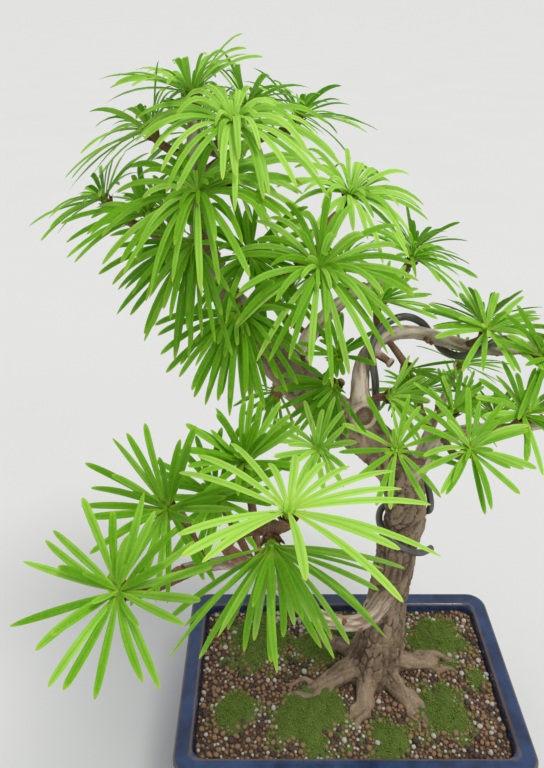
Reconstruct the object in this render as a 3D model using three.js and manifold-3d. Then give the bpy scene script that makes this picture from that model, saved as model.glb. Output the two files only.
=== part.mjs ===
// Golden larch bonsai growing in a glazed rectangular pot.
// Millimetres, +Z up. The front of the tree faces -Y. Everything is drawn about the point under the middle
// of the pot, and at the end moved so that the origin is under the middle of the whole tree.
import * as THREE from 'three';
import { mergeVertices } from 'three/addons/utils/BufferGeometryUtils.js';
import Module from 'manifold-3d';

// Driving dimensions

const CLEARANCE = 0.3; // left between pieces that lie against each other

const POT = {
  width: 220, depth: 140, height: 62, corner: 12,
  foot: 8, floor: 7, wall: 6, lip: 5, lipHeight: 9, taper: 8, edge: 1.5,
  drainRadius: 11, drainSides: 16, drainSpacing: 104,
};
const FOOT = { length: 32, width: 24, taper: 3, inset: 5 };
const SOIL = { edge: 56, shoulder: 59, crown: 61, shoulderIn: 16, crownIn: 36 };
const MESH = { side: 32, thick: 1.2, hole: 4, pitch: 8, holesAcross: 3 };
const CLIP = { wire: 1.6, reach: 16 };

const NEEDLE = {
  width: 2.9, keel: 1.0, clear: 3.3, ownClear: 2.4, woodClear: 2.2,
  arch: 2.6, // power of the fraction of its length that a needle sags by
  sections: [[0.24, 0.84], [0.7, 1]], // fraction of the length, share of the full width there
};
const CORE = {
  radius: 3.0, lowRadius: 2.3, high: 1.1, low: -1.3, half: 2.1, // heights run along the spray's axis
  halfFacet: 17, leastStep: 13, widestGap: 66, // in degrees round the core
};
const SPUR = { foot: 1.7, tip: 2.1, sides: 5, steps: 2 };
const WIRE = { radius: 2.0, sides: 6, steps: 72 };
const ROOT = { tip: 2.4, rise: 11, knee: 0.5, dive: 6, sides: 7, steps: 6 };
const CUT = { flare: 1.25, sides: 9 };

// Routes of the wood, chosen by hand, each with its radius at even steps from root to tip

const LIMBS = {
  trunk: {
    route: [[15, 6, 38], [18, 5, 62], [21, 5, 95], [23, 5, 132], [25, 5, 172], [27, 3, 201], [21, 2, 226],
      [6, 4, 247], [-19, 6, 266], [-41, 8, 290], [-60, 10, 312], [-77, 14, 338], [-84, 18, 364],
      [-85, 20, 391], [-85, 23, 411]],
    radii: [21, 17.4, 13.6, 12.4, 11.9, 11.6, 11.4, 10.8, 9.6, 6.8, 4.8, 3.0],
    sides: 10, steps: 22,
  },
  front: {
    route: [[24, 5, 136], [4, -28, 146], [-22, -54, 176], [-44, -76, 220], [-62, -94, 256], [-84, -112, 270]],
    radii: [6.6, 4.4, 3.6, 3.0, 2.4],
    sides: 7, steps: 8,
  },
  heroTwig: {
    route: [[-62, -95, 258], [-67, -110, 280], [-62, -121, 297], [-52, -129, 306], [-47, -133, 310]],
    radii: [2.6, 2.3, 2.1],
    sides: 6, steps: 6,
  },
  right: {
    route: [[-6, 5, 254], [-3, 3, 268], [-4, 9, 281], [-1, 17, 293], [6, 21, 301], [17, 23, 305],
      [30, 23, 304], [49, 20, 299], [73, 18, 297], [98, 15, 304]],
    radii: [9.4, 4.8, 3.7, 3.5, 3.4, 3.0, 2.4],
    sides: 7, steps: 13,
  },
  lowRight: {
    route: [[20, 3, 222], [31, -4, 238], [38, -6, 256], [52, -10, 265], [72, -13, 268], [94, -14, 274]],
    radii: [6.2, 4.0, 3.4, 2.8, 2.2],
    sides: 7, steps: 8,
  },
  crownRight: {
    route: [[-64, 11, 317], [-50, 4, 337], [-36, -3, 350], [-29, -2, 358], [-23, 9, 368], [-15, 24, 369]],
    radii: [4.6, 3.0, 2.2, 1.8],
    sides: 6, steps: 8,
  },
  left: {
    route: [[-78, 14, 340], [-94, 24, 348], [-110, 32, 356], [-124, 38, 360]],
    radii: [4.4, 3.2, 2.6, 2.0],
    sides: 6, steps: 6,
  },
  back: {
    route: [[-38, 8, 287], [-28, 34, 300], [-8, 54, 311], [16, 66, 317], [30, 84, 316]],
    radii: [5.4, 4.0, 3.0, 2.2],
    sides: 6, steps: 7,
  },
  backLow: {
    route: [[24, 5, 160], [31, 27, 180], [45, 53, 208], [64, 80, 236]],
    radii: [5.8, 4.2, 3.2, 2.2],
    sides: 6, steps: 6,
  },
  crownBack: {
    route: [[-85, 20, 384], [-72, 38, 391], [-56, 56, 396], [-42, 68, 398]],
    radii: [3.0, 2.4, 2.0, 1.8],
    sides: 6, steps: 5,
  },
};

// Surface roots: bearing from +X in degrees, reach from the middle of the trunk, radius where they leave it
const ROOTS = [
  { bearing: 200, reach: 70, radius: 9.4 },
  { bearing: 250, reach: 50, radius: 8.4 },
  { bearing: 308, reach: 58, radius: 9.2 },
  { bearing: 6, reach: 66, radius: 8.6 },
  { bearing: 76, reach: 48, radius: 8.0 },
  { bearing: 140, reach: 58, radius: 8.8 },
];

// Old cuts: where the branch was pruned off, which way the cut faces, its radius and how far it stands out
const CUTS = [
  { from: [-4, 4, 266], facing: [0.16, -0.88, 0.42], radius: 6.4, stand: 10 },
  { from: [4, 18, 296], facing: [0.62, -0.55, -0.25], radius: 2.2, stand: 11 },
  { from: [24, 5, 120], facing: [-0.9, -0.35, 0.3], radius: 5.0, stand: 15 },
];

// The wire that trains the right branch: limb, fraction of its length, angle round it from the front,
// and how far it stands off the bark
const WIRE_ROUTE = [
  ['trunk', 0.33, 82, 6], ['trunk', 0.34, 48, 1.6], ['trunk', 0.354, 8, 1.1],
  ['trunk', 0.366, 325, 1.1], ['trunk', 0.374, 280, 1], ['trunk', 0.376, 232, 1],
  ['trunk', 0.372, 185, 1], ['trunk', 0.372, 138, 1], ['trunk', 0.386, 104, 1.2],
  ['trunk', 0.408, 104, 1.2], ['trunk', 0.432, 124, 1.4], ['trunk', 0.46, 145, 1.6],
  ['trunk', 0.5, 155, 1.6], ['trunk', 0.54, 156, 1.8], ['right', 0.095, 125, 2.2],
  ['right', 0.16, 100, 1.5], ['right', 0.22, 66, 1.4], ['right', 0.275, 18, 2.0],
  ['right', 0.335, 330, 2.4], ['right', 0.4, 290, 2.8], ['right', 0.46, 262, 2.6],
  ['right', 0.52, 215, 1.2], ['right', 0.57, 160, 0.8], ['right', 0.62, 105, 0.8],
  ['right', 0.67, 45, 0.8], ['right', 0.72, 350, 0.8], ['right', 0.77, 295, 0.8],
  ['right', 0.82, 240, 0.8], ['right', 0.87, 185, 0.8], ['right', 0.92, 140, 0.8],
];

// Needles of the open spray at the front, chosen by hand: bearing, angle from the axis, length
const FRONT_NEEDLES = [
  [14, 86, 46], [27, 86, 42], [40, 83, 46], [55, 82, 36], [70, 82, 34], [83, 81, 36], [98, 82, 30],
  [116, 79, 46], [130, 80, 44], [146, 85, 44], [206, 84, 33], [220, 85, 36], [233, 79, 38],
  [278, 82, 34], [309, 87, 46], [323, 82, 35], [338, 86, 45],
];

// Needle sprays, one on each short spur: name, middle of the spray, limb it grows from, the way it faces,
// needle length, angle of the needles from that axis, how far they droop, number of needles, and the part
// of the circle that they fill, counted from the right and turning upwards as seen by what the spray faces
const SPRAYS = [
  ['front_hero', [-45, -136, 319], 'heroTwig', [0.03, 0.18, 1], 46, 86, 0.32, 17],
  ['apex_front', [-67, 12, 410], 'trunk', [0.15, -0.3, 1], 47, 80, 0.9, 16],
  ['front_under', [-50, -136, 305.5], 'heroTwig', [0.1, -0.85, -0.3], 44, 76, 0.3, 13, [172, 368]],
  ['front_left', [-90, -98, 288], 'front', [-0.35, -0.75, 0.55], 35, 78, 0.12, 13],
  ['front_far_left', [-103, -132, 280], 'front', [-0.15, -0.5, 0.85], 34, 80, 0.12, 11],
  ['middle_front', [-29, -14, 354], 'crownRight', [0.05, -0.75, 0.6], 43, 82, 0.6, 15],
  ['upper_left', [-82, -4, 384], 'trunk', [-0.25, -0.5, 0.85], 47, 84, 0.7, 15],
  ['shoot_right', [-12, 32, 374], 'crownRight', [0.25, -0.3, 0.9], 40, 74, 0.8, 13],
  ['middle_left', [-84, -8, 364], 'trunk', [-0.5, -0.75, 0], 43, 66, 0.5, 11, [160, 330]],
  ['lower_left', [-65, -16, 333], 'trunk', [-0.2, -0.85, 0.2], 37, 74, 0.5, 13, [150, 390]],
  ['inner_crown', [-60, 2, 354], 'trunk', [0.2, -0.75, 0.5], 38, 80, 0.5, 12],
  ['bright_bud', [-70, 24, 384], 'trunk', [0.7, -0.3, 0.5], 42, 62, 0.5, 9],
  ['knob_star', [8, -41, 275], 'lowRight', [0.05, -0.6, 0.8], 28, 84, 0.15, 11],
  ['right_edge', [38, -52, 283], 'lowRight', [0.1, -0.55, 0.8], 28, 84, 0.2, 10],
  ['right_twig', [42, -8, 276], 'lowRight', [0.1, -0.1, 1], 23, 62, 0.1, 9],
  ['wire_right', [10, -3, 281], 'right', [0.75, -0.55, 0.3], 25, 70, 0.15, 8, [-110, 70]],
  ['wire_under', [20, 8, 291], 'right', [0.3, -0.8, -0.4], 24, 66, 0.15, 7, [200, 380]],
  ['wire_above', [8, 36, 317], 'right', [0.3, -0.1, 0.95], 30, 72, 0.2, 9],
  ['bend_left', [-20, -20, 297], 'trunk', [-0.5, -0.75, 0.1], 27, 72, 0.25, 8, [130, 300]],
  ['bend_above', [-18, -5, 306], 'trunk', [-0.2, -0.5, 0.8], 22, 60, 0.2, 7],
  ['bright_tip', [-28, -36, 272], 'trunk', [-0.25, -0.6, 0.7], 25, 64, 0.1, 7],
  ['front_inner', [-74, -70, 270], 'front', [-0.2, -0.55, 0.8], 32, 72, 0.2, 9],
  ['front_upper', [-62, -62, 284], 'front', [-0.1, -0.3, 0.95], 32, 58, 0.15, 8],
  ['back_right', [30, 71, 328], 'back', [0.4, 0, 0.9], 36, 80, 0.5, 10],
  ['under_bend', [-47, 40, 258], 'trunk', [-0.2, 0.3, -0.6], 24, 60, 0.3, 7],
  ['apex_top', [-86, 28, 421], 'trunk', [-0.2, 0.1, 1], 42, 66, 0.6, 11],
  ['apex_back', [-62, 48, 412], 'trunk', [0.3, 0.45, 0.9], 40, 80, 0.6, 10],
  ['apex_left', [-106, 30, 404], 'trunk', [-0.55, 0.15, 0.8], 42, 78, 0.6, 10],
  ['crown_back', [-36, 74, 404], 'crownBack', [0.35, 0.4, 0.85], 40, 78, 0.5, 10],
  ['crown_back_left', [-88, 62, 398], 'crownBack', [-0.3, 0.6, 0.75], 38, 76, 0.5, 10],
  ['left_near', [-108, 16, 370], 'left', [-0.3, -0.35, 0.9], 40, 82, 0.5, 10],
  ['left_tip', [-134, 42, 370], 'left', [-0.6, 0.1, 0.8], 38, 78, 0.5, 10],
  ['left_back', [-104, 60, 356], 'left', [-0.2, 0.7, 0.6], 36, 76, 0.4, 9],
  ['wire_far_up', [58, 10, 312], 'right', [0.1, -0.35, 0.95], 32, 82, 0.25, 9],
  ['wire_far_back', [66, 40, 302], 'right', [0.1, 0.65, 0.7], 34, 78, 0.3, 9],
  ['wire_far_front', [84, -4, 304], 'right', [0.2, -0.7, 0.65], 32, 80, 0.25, 8],
  ['wire_tip', [112, 14, 314], 'right', [0.65, 0, 0.75], 34, 76, 0.3, 10],
  ['low_right_up', [72, -22, 282], 'lowRight', [0.1, -0.45, 0.9], 30, 82, 0.2, 9],
  ['low_right_tip', [106, -16, 282], 'lowRight', [0.65, -0.15, 0.75], 32, 76, 0.25, 10],
  ['low_right_back', [70, 8, 262], 'lowRight', [0.2, 0.6, 0.5], 28, 74, 0.25, 8],
  ['back_middle', [-10, 76, 322], 'back', [-0.2, 0.5, 0.85], 36, 78, 0.4, 9],
  ['back_tip', [36, 100, 324], 'back', [0.3, 0.6, 0.75], 36, 76, 0.4, 10],
  ['back_left', [-46, 54, 306], 'back', [-0.5, 0.4, 0.75], 34, 76, 0.35, 9],
  ['back_low_near', [40, 60, 246], 'backLow', [-0.1, 0.3, 0.95], 34, 80, 0.3, 9],
  ['back_low_tip', [74, 96, 246], 'backLow', [0.5, 0.5, 0.75], 36, 78, 0.3, 10],
  ['back_low_side', [66, 56, 240], 'backLow', [0.7, -0.1, 0.65], 32, 74, 0.3, 8],
].map(([name, at, limb, facing, length, spread, droop, count, bearings]) => ({
  name, at: new THREE.Vector3(...at), limb, axis: new THREE.Vector3(...facing).normalize(),
  length, spread, droop, count, bearings,
}));

const SEED = 20;
const WHORL = { lift: 15, jitter: 6, shortest: 0.88, sway: 0.07 };
const SHIFT = {
  bearing: [0, 8, -8, 16, -16, 24, -24], polar: [0, -9, 9, -18, 18, -28], length: [1, 0.8, 0.62],
};

const COLOURS = {
  glaze: 0x1c2c4a, soil: 0x5b4636, bark: 0xa58c70, wire: 0x4a4a48, mesh: 0x2f5f4a, clip: 0x8a8378,
  needle: 0x7fc63a,
};

const UP = new THREE.Vector3(0, 0, 1);
const FRONT = new THREE.Vector3(0, -1, 0);
const vec = (p) => new THREE.Vector3(...p);
const radians = THREE.MathUtils.degToRad;

const wasm = await Module();
wasm.setup();

// Solids and their joins

function indexed(positions, faces) {
  const geometry = new THREE.BufferGeometry();
  const numbers = positions.flatMap((p) => [p.x, p.y, p.z]);
  geometry.setAttribute('position', new THREE.Float32BufferAttribute(numbers, 3));
  geometry.setIndex(faces.flat());
  return geometry;
}

// A closed skin over rings of equal count; a ring of one point is an end, others are closed by a fan
function loft(rings) {
  const positions = [];
  const faces = [];
  const starts = rings.map((ring) => {
    const start = positions.length;
    positions.push(...ring);
    return start;
  });
  const count = Math.max(...rings.map((ring) => ring.length));
  const fan = (start, middle, turn) => {
    for (let i = 0; i < count; i += 1) {
      const next = (i + 1) % count;
      faces.push(turn ? [middle, start + next, start + i] : [middle, start + i, start + next]);
    }
  };
  for (let r = 0; r + 1 < rings.length; r += 1) {
    if (rings[r].length === 1) {
      fan(starts[r + 1], starts[r], true);
    } else if (rings[r + 1].length === 1) {
      fan(starts[r], starts[r + 1], false);
    } else {
      for (let i = 0; i < count; i += 1) {
        const [a, b] = [starts[r] + i, starts[r] + ((i + 1) % count)];
        const [c, d] = [starts[r + 1] + i, starts[r + 1] + ((i + 1) % count)];
        faces.push([a, b, d], [a, d, c]);
      }
    }
  }
  [[0, true], [rings.length - 1, false]].forEach(([r, turn]) => {
    if (rings[r].length > 1) {
      const middle = positions.length;
      positions.push(rings[r].reduce((sum, p) => sum.clone().add(p), new THREE.Vector3()).divideScalar(count));
      fan(starts[r], middle, turn);
    }
  });
  return indexed(positions, faces);
}

function signedVolume(position, index) {
  const [a, b, c] = [new THREE.Vector3(), new THREE.Vector3(), new THREE.Vector3()];
  let total = 0;
  for (let i = 0; i < index.count; i += 3) {
    a.fromBufferAttribute(position, index.getX(i));
    b.fromBufferAttribute(position, index.getX(i + 1));
    c.fromBufferAttribute(position, index.getX(i + 2));
    total += a.dot(b.cross(c)) / 6;
  }
  return total;
}

function solid(geometry) {
  const bare = geometry.clone();
  bare.deleteAttribute('normal');
  bare.deleteAttribute('uv');
  const merged = mergeVertices(bare, 1e-4);
  const triVerts = new Uint32Array(merged.index.array);
  if (signedVolume(merged.attributes.position, merged.index) < 0) {
    for (let i = 0; i < triVerts.length; i += 3) {
      [triVerts[i], triVerts[i + 1]] = [triVerts[i + 1], triVerts[i]];
    }
  }
  const vertProperties = new Float32Array(merged.attributes.position.array);
  return new wasm.Manifold(new wasm.Mesh({ numProp: 3, vertProperties, triVerts }));
}

const joined = (solids) => solids.reduce((whole, piece) => whole.add(piece));

function geometryOf(manifold) {
  const { vertProperties, triVerts } = manifold.getMesh();
  const geometry = new THREE.BufferGeometry();
  geometry.setAttribute('position', new THREE.BufferAttribute(new Float32Array(vertProperties), 3));
  geometry.setIndex(new THREE.BufferAttribute(new Uint32Array(triVerts), 1));
  return geometry;
}

function box(size, middle) {
  return solid(new THREE.BoxGeometry(...size).translate(...middle));
}

// Numbers that look random and are the same on every run
function drawer(seed) {
  let state = seed;
  return () => {
    state = (state + 0x6d2b79f5) | 0;
    let t = Math.imul(state ^ (state >>> 15), 1 | state);
    t = (t + Math.imul(t ^ (t >>> 7), 61 | t)) ^ t;
    return ((t ^ (t >>> 14)) >>> 0) / 4294967296;
  };
}

// Pot, with its floor, feet and drainage

function roundedRing(inset, z) {
  const halfX = POT.width / 2 - inset;
  const halfY = POT.depth / 2 - inset;
  const radius = Math.max(2, Math.min(POT.corner, POT.corner - inset * 0.3));
  const ring = [];
  for (let corner = 0; corner < 4; corner += 1) {
    const signX = corner === 0 || corner === 3 ? 1 : -1;
    const signY = corner < 2 ? 1 : -1;
    for (let step = 0; step <= 2; step += 1) {
      const angle = radians(corner * 90 + step * 45);
      ring.push(new THREE.Vector3(
        signX * (halfX - radius) + radius * Math.cos(angle),
        signY * (halfY - radius) + radius * Math.sin(angle),
        z,
      ));
    }
  }
  return ring;
}

const INSIDE_FLOOR = POT.foot + POT.floor;
const baseInset = POT.lip + POT.taper;
const corners = [[1, 1], [-1, 1], [-1, -1], [1, -1]];
const DRAINS = [-POT.drainSpacing / 2, POT.drainSpacing / 2];

// Inset of the inner wall at a height inside the pot
function innerInset(z) {
  const t = (z - INSIDE_FLOOR) / (POT.height - INSIDE_FLOOR);
  return baseInset + POT.wall - t * POT.taper;
}

function pot() {
  const lipFoot = POT.height - POT.lipHeight;
  const body = solid(loft([
    roundedRing(baseInset + 2 * POT.edge, POT.foot),
    roundedRing(baseInset, POT.foot + 2 * POT.edge),
    roundedRing(POT.lip + POT.taper * 0.35, (POT.foot + lipFoot) / 2),
    roundedRing(POT.lip, lipFoot - POT.edge),
    roundedRing(POT.edge, lipFoot),
    roundedRing(0, lipFoot + POT.edge),
    roundedRing(0, POT.height - POT.edge),
    roundedRing(POT.edge, POT.height),
    roundedRing(innerInset(POT.height) - POT.edge, POT.height),
    roundedRing(innerInset(POT.height), POT.height - POT.edge),
    roundedRing(innerInset(INSIDE_FLOOR), INSIDE_FLOOR),
  ]));
  const feet = corners.map(([sx, sy]) => {
    const x = sx * (POT.width / 2 - baseInset - FOOT.inset - FOOT.length / 2);
    const y = sy * (POT.depth / 2 - baseInset - FOOT.inset - FOOT.width / 2);
    const rectangle = (shrink, z) => corners.map(([ux, uy]) => new THREE.Vector3(
      x + ux * (FOOT.length / 2 - shrink), y + uy * (FOOT.width / 2 - shrink), z,
    ));
    return solid(loft([rectangle(FOOT.taper, 0), rectangle(0, POT.foot + 1)]));
  });
  return DRAINS.reduce((drilled, x) => {
    const drill = new THREE.CylinderGeometry(POT.drainRadius, POT.drainRadius, 4 * POT.floor, POT.drainSides)
      .rotateX(Math.PI / 2).translate(x, 0, POT.foot + POT.floor / 2);
    return drilled.subtract(solid(drill));
  }, joined([body, ...feet]));
}

function drainMesh(x) {
  const middle = INSIDE_FLOOR + CLEARANCE + MESH.thick / 2;
  const first = -MESH.pitch * (MESH.holesAcross - 1) / 2;
  let plate = box([MESH.side, MESH.side, MESH.thick], [x, 0, middle]);
  for (let i = 0; i < MESH.holesAcross; i += 1) {
    for (let j = 0; j < MESH.holesAcross; j += 1) {
      const at = [x + first + i * MESH.pitch, first + j * MESH.pitch, middle];
      plate = plate.subtract(box([MESH.hole, MESH.hole, 3 * MESH.thick], at));
    }
  }
  return plate;
}

// Round wire along a smooth path
function tube(points, radius, sides, steps, tension = 0.5) {
  const section = new THREE.Shape(Array.from({ length: sides }, (_, i) => {
    const angle = (i / sides) * Math.PI * 2;
    return new THREE.Vector2(radius * Math.cos(angle), radius * Math.sin(angle));
  }));
  const extrudePath = new THREE.CatmullRomCurve3(points, false, 'catmullrom', tension);
  return solid(new THREE.ExtrudeGeometry(section, { steps, extrudePath, bevelEnabled: false }));
}

const clipTop = INSIDE_FLOOR + MESH.thick + 2 * CLEARANCE + CLIP.wire / 2;
const clipFoot = POT.foot - CLEARANCE - CLIP.wire / 2;

// The bent wire that holds a drain mesh: over the mesh, down through the drain and out under the floor
function drainClip(x) {
  const leg = MESH.pitch;
  const half = [
    [leg - 1.4, 0, clipTop], [leg, 0, clipTop - 1.4], [leg, 0, clipFoot + 2],
    [leg + 1, 0, clipFoot + 0.3], [leg + 3, 0, clipFoot], [CLIP.reach, 0, clipFoot],
  ];
  const mirrored = half.map(([u, v, z]) => [-u, v, z]).reverse();
  const points = [...mirrored, ...half].map(([u, v, z]) => new THREE.Vector3(x + u, v, z));
  return tube(points, CLIP.wire / 2, 6, 24, 0.3);
}

// Wood: limbs swept along their routes, with spurs, roots and old cuts grown together

function radiusAt(radii, t) {
  const place = Math.min(Math.max(t, 0), 1) * (radii.length - 1);
  const i = Math.min(Math.floor(place), radii.length - 2);
  return THREE.MathUtils.lerp(radii[i], radii[i + 1], place - i);
}

// Directions square to a limb: the first towards the front as far as it can, the second a quarter turn on
function around(tangent) {
  const reference = Math.abs(tangent.dot(FRONT)) > 0.9 ? UP : FRONT;
  const first = reference.clone().addScaledVector(tangent, -reference.dot(tangent)).normalize();
  return [first, tangent.clone().cross(first)];
}

function sweep(curve, radius, sides, steps) {
  const frames = curve.computeFrenetFrames(steps, false);
  const rings = [];
  for (let i = 0; i <= steps; i += 1) {
    const middle = curve.getPointAt(i / steps);
    const r = radius(i / steps);
    rings.push(Array.from({ length: sides }, (_, k) => {
      const angle = (k / sides) * Math.PI * 2;
      return middle.clone()
        .addScaledVector(frames.normals[i], r * Math.cos(angle))
        .addScaledVector(frames.binormals[i], r * Math.sin(angle));
    }));
  }
  return solid(loft(rings));
}

const curves = Object.fromEntries(Object.entries(LIMBS).map(([name, limb]) => [
  name, new THREE.CatmullRomCurve3(limb.route.map(vec), false, 'centripetal'),
]));

const trunkBase = curves.trunk.getPointAt(0.06);

function rootCurve(root) {
  const outward = new THREE.Vector3(Math.cos(radians(root.bearing)), Math.sin(radians(root.bearing)), 0);
  const start = trunkBase.clone().setZ(SOIL.crown + ROOT.rise);
  const knee = start.clone().addScaledVector(outward, root.reach * ROOT.knee).setZ(SOIL.crown);
  const end = start.clone().addScaledVector(outward, root.reach).setZ(SOIL.edge - ROOT.dive);
  return new THREE.CatmullRomCurve3([start, knee, end], false, 'centripetal');
}

// The spur of a spray leaves its limb a little before the nearest point and ends square to the spray
function spurCurve({ at, limb, axis }) {
  const tip = at.clone().addScaledVector(axis, -(CORE.half + CLEARANCE));
  const curve = curves[limb];
  let best = { gap: Infinity, t: 0 };
  curve.getSpacedPoints(80).forEach((point, i, points) => {
    const gap = point.distanceTo(tip);
    if (gap < best.gap) {
      best = { gap, t: i / (points.length - 1) };
    }
  });
  const back = (0.35 * best.gap) / curve.getLength();
  const start = curve.getPointAt(Math.max(0.02, Math.min(0.985, best.t) - back));
  const reach = start.distanceTo(tip);
  const beforeTip = tip.clone().addScaledVector(axis, -0.38 * reach);
  return new THREE.CubicBezierCurve3(start, start.clone().lerp(tip, 0.3), beforeTip, tip);
}

const spurRadius = (t) => THREE.MathUtils.lerp(SPUR.foot, SPUR.tip, t);

function wood() {
  const limbs = Object.entries(LIMBS).map(([name, limb]) => sweep(
    curves[name], (t) => radiusAt(limb.radii, t), limb.sides, limb.steps,
  ));
  const roots = ROOTS.map((root) => rootSolid(root, 0));
  const spurs = SPRAYS.map((spray) => sweep(spurCurve(spray), spurRadius, SPUR.sides, SPUR.steps));
  const cuts = CUTS.map(({ from, facing, radius, stand }) => {
    const start = vec(from);
    const end = start.clone().addScaledVector(vec(facing).normalize(), stand);
    const taper = (t) => radius * THREE.MathUtils.lerp(CUT.flare, 1, t);
    return sweep(new THREE.LineCurve3(start, end), taper, CUT.sides, 1);
  });
  return joined([...limbs, ...roots, ...cuts, ...spurs]);
}

function rootSolid(root, grow) {
  const taper = (t) => THREE.MathUtils.lerp(root.radius, ROOT.tip, t) + grow;
  return sweep(rootCurve(root), taper, ROOT.sides, ROOT.steps);
}

// The soil fills the pot and leaves plain holes for the foot of the trunk and the roots
function soil() {
  const { radii, sides, steps } = LIMBS.trunk;
  const bed = solid(loft([
    roundedRing(innerInset(INSIDE_FLOOR) + CLEARANCE, INSIDE_FLOOR + CLEARANCE),
    roundedRing(innerInset(SOIL.edge) + CLEARANCE, SOIL.edge),
    roundedRing(innerInset(SOIL.edge) + SOIL.shoulderIn, SOIL.shoulder),
    roundedRing(innerInset(SOIL.edge) + SOIL.crownIn, SOIL.crown),
  ]));
  const stump = sweep(curves.trunk, (t) => radiusAt(radii, t) + CLEARANCE, sides, steps);
  const foot = curves.trunk.getPointAt(0);
  const below = foot.clone().addScaledVector(curves.trunk.getTangentAt(0), -CLEARANCE);
  const heel = sweep(new THREE.LineCurve3(below, foot), () => radii[0] + CLEARANCE, sides, 1);
  const recesses = DRAINS.map((x) => box(
    [MESH.side + 2 * CLEARANCE, MESH.side + 2 * CLEARANCE, 2 * (clipTop + CLIP.wire - INSIDE_FLOOR)],
    [x, 0, INSIDE_FLOOR],
  ));
  return [stump, heel, ...ROOTS.map((root) => rootSolid(root, CLEARANCE)), ...recesses]
    .reduce((whole, cut) => whole.subtract(cut), bed);
}

// Training wire

function wirePoint([limb, t, angle, standOff]) {
  const curve = curves[limb];
  const [first, second] = around(curve.getTangentAt(t));
  const r = radiusAt(LIMBS[limb].radii, t) + WIRE.radius + standOff;
  return curve.getPointAt(t)
    .addScaledVector(first, r * Math.cos(radians(angle)))
    .addScaledVector(second, r * Math.sin(radians(angle)));
}

const wirePoints = WIRE_ROUTE.map(wirePoint);

// Needles: each is a three-sided blade, flat above and keeled beneath

const capsules = []; // wood, wire and the hearts of sprays, which the needles keep clear of
function addCapsules(points, radius, owner = '') {
  for (let i = 0; i + 1 < points.length; i += 1) {
    const t = (i + 0.5) / (points.length - 1);
    capsules.push({ a: points[i], b: points[i + 1], r: radius(t), owner });
  }
}

Object.entries(LIMBS).forEach(([name, limb]) => {
  addCapsules(curves[name].getSpacedPoints(2 * limb.steps), (t) => radiusAt(limb.radii, t));
});
SPRAYS.forEach((spray) => {
  const { at, axis, name } = spray;
  const heart = [at.clone().addScaledVector(axis, -CORE.half), at.clone().addScaledVector(axis, CORE.high)];
  addCapsules(spurCurve(spray).getPoints(6), spurRadius, name);
  addCapsules(heart, () => CORE.radius, name);
});
addCapsules(new THREE.CatmullRomCurve3(wirePoints).getPoints(90), () => WIRE.radius);
CUTS.forEach(({ from, facing, radius, stand }) => {
  addCapsules([vec(from), vec(from).addScaledVector(vec(facing).normalize(), stand)], () => radius);
});

// Shortest distance between the segments a-b and c-d
function segmentGap(a, b, c, d) {
  const [u, v, w] = [b.clone().sub(a), d.clone().sub(c), a.clone().sub(c)];
  const [uu, uv, vv, uw, vw] = [u.dot(u), u.dot(v), v.dot(v), u.dot(w), v.dot(w)];
  const clamp = (x) => Math.min(1, Math.max(0, x));
  const across = uu * vv - uv * uv;
  let s = across > 1e-9 ? clamp((uv * vw - vv * uw) / across) : 0;
  const t = clamp((uv * s + vw) / vv);
  s = clamp((uv * t - uw) / uu);
  return w.addScaledVector(u, s).addScaledVector(v, -t).length();
}

const placed = []; // needles already grown: spray, path points, middle and half length

// Directions square to an axis: the first to the right, the second a quarter turn on
function squareTo(axis) {
  const across = new THREE.Vector3(1, 0, 0).addScaledVector(axis, -axis.x).normalize();
  return [across, axis.clone().cross(across)];
}

function outwardAt({ axis }, bearing) {
  const [across, onward] = squareTo(axis);
  return across.multiplyScalar(Math.cos(radians(bearing)))
    .addScaledVector(onward, Math.sin(radians(bearing)));
}

// Point of a needle at fraction u: straight out, then sagging and swaying a little
function needlePoint(n, u) {
  return n.root.clone()
    .addScaledVector(n.direction, n.length * u)
    .addScaledVector(UP, -0.5 * n.droop * n.length * u ** NEEDLE.arch)
    .addScaledVector(n.side, n.sway * n.length * u * u);
}

function needle(spray, bearing, polar, length, sway) {
  const { axis, at, droop } = spray;
  const outward = outwardAt(spray, bearing);
  const direction = outward.clone().multiplyScalar(Math.sin(radians(polar)))
    .addScaledVector(axis, Math.cos(radians(polar)));
  const root = at.clone().addScaledVector(outward, CORE.radius).addScaledVector(axis, CORE.high);
  const side = axis.clone().cross(outward);
  const n = { spray: spray.name, origin: at, bearing, root, direction, side, length, droop, sway, axis };
  n.points = [0, 0.3, 0.65, 1].map((u) => needlePoint(n, u));
  n.middle = n.points[0].clone().lerp(n.points[3], 0.5);
  n.half = n.points[0].distanceTo(n.points[3]) / 2;
  return n;
}

const turnBetween = (a, b) => Math.abs(((((a - b) % 360) + 540) % 360) - 180);

function isClear(n) {
  const clearOfNeedles = placed.every((other) => {
    const own = other.spray === n.spray;
    if (own && turnBetween(n.bearing, other.bearing) < CORE.leastStep) {
      return false;
    }
    const least = own ? NEEDLE.ownClear : NEEDLE.clear;
    if (n.middle.distanceTo(other.middle) > n.half + other.half + 2 * least) {
      return true;
    }
    for (let i = own ? 1 : 0; i < 3; i += 1) {
      for (let j = own ? 1 : 0; j < 3; j += 1) {
        if (segmentGap(n.points[i], n.points[i + 1], other.points[j], other.points[j + 1]) < least) {
          return false;
        }
      }
    }
    return true;
  });
  return clearOfNeedles && capsules.every(({ a, b, r, owner }) => {
    for (let i = owner === n.spray ? 1 : 0; i < 3; i += 1) {
      if (segmentGap(n.points[i], n.points[i + 1], a, b) < r + NEEDLE.woodClear) {
        return false;
      }
    }
    return true;
  });
}

function firstClear(spray, bearing, polar, length, sway) {
  for (const shorter of SHIFT.length) {
    for (const tilt of SHIFT.polar) {
      for (const turn of SHIFT.bearing) {
        const n = needle(spray, bearing + turn, Math.max(22, polar + tilt), length * shorter, sway);
        if (isClear(n)) {
          return n;
        }
      }
    }
  }
  return null;
}

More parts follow.
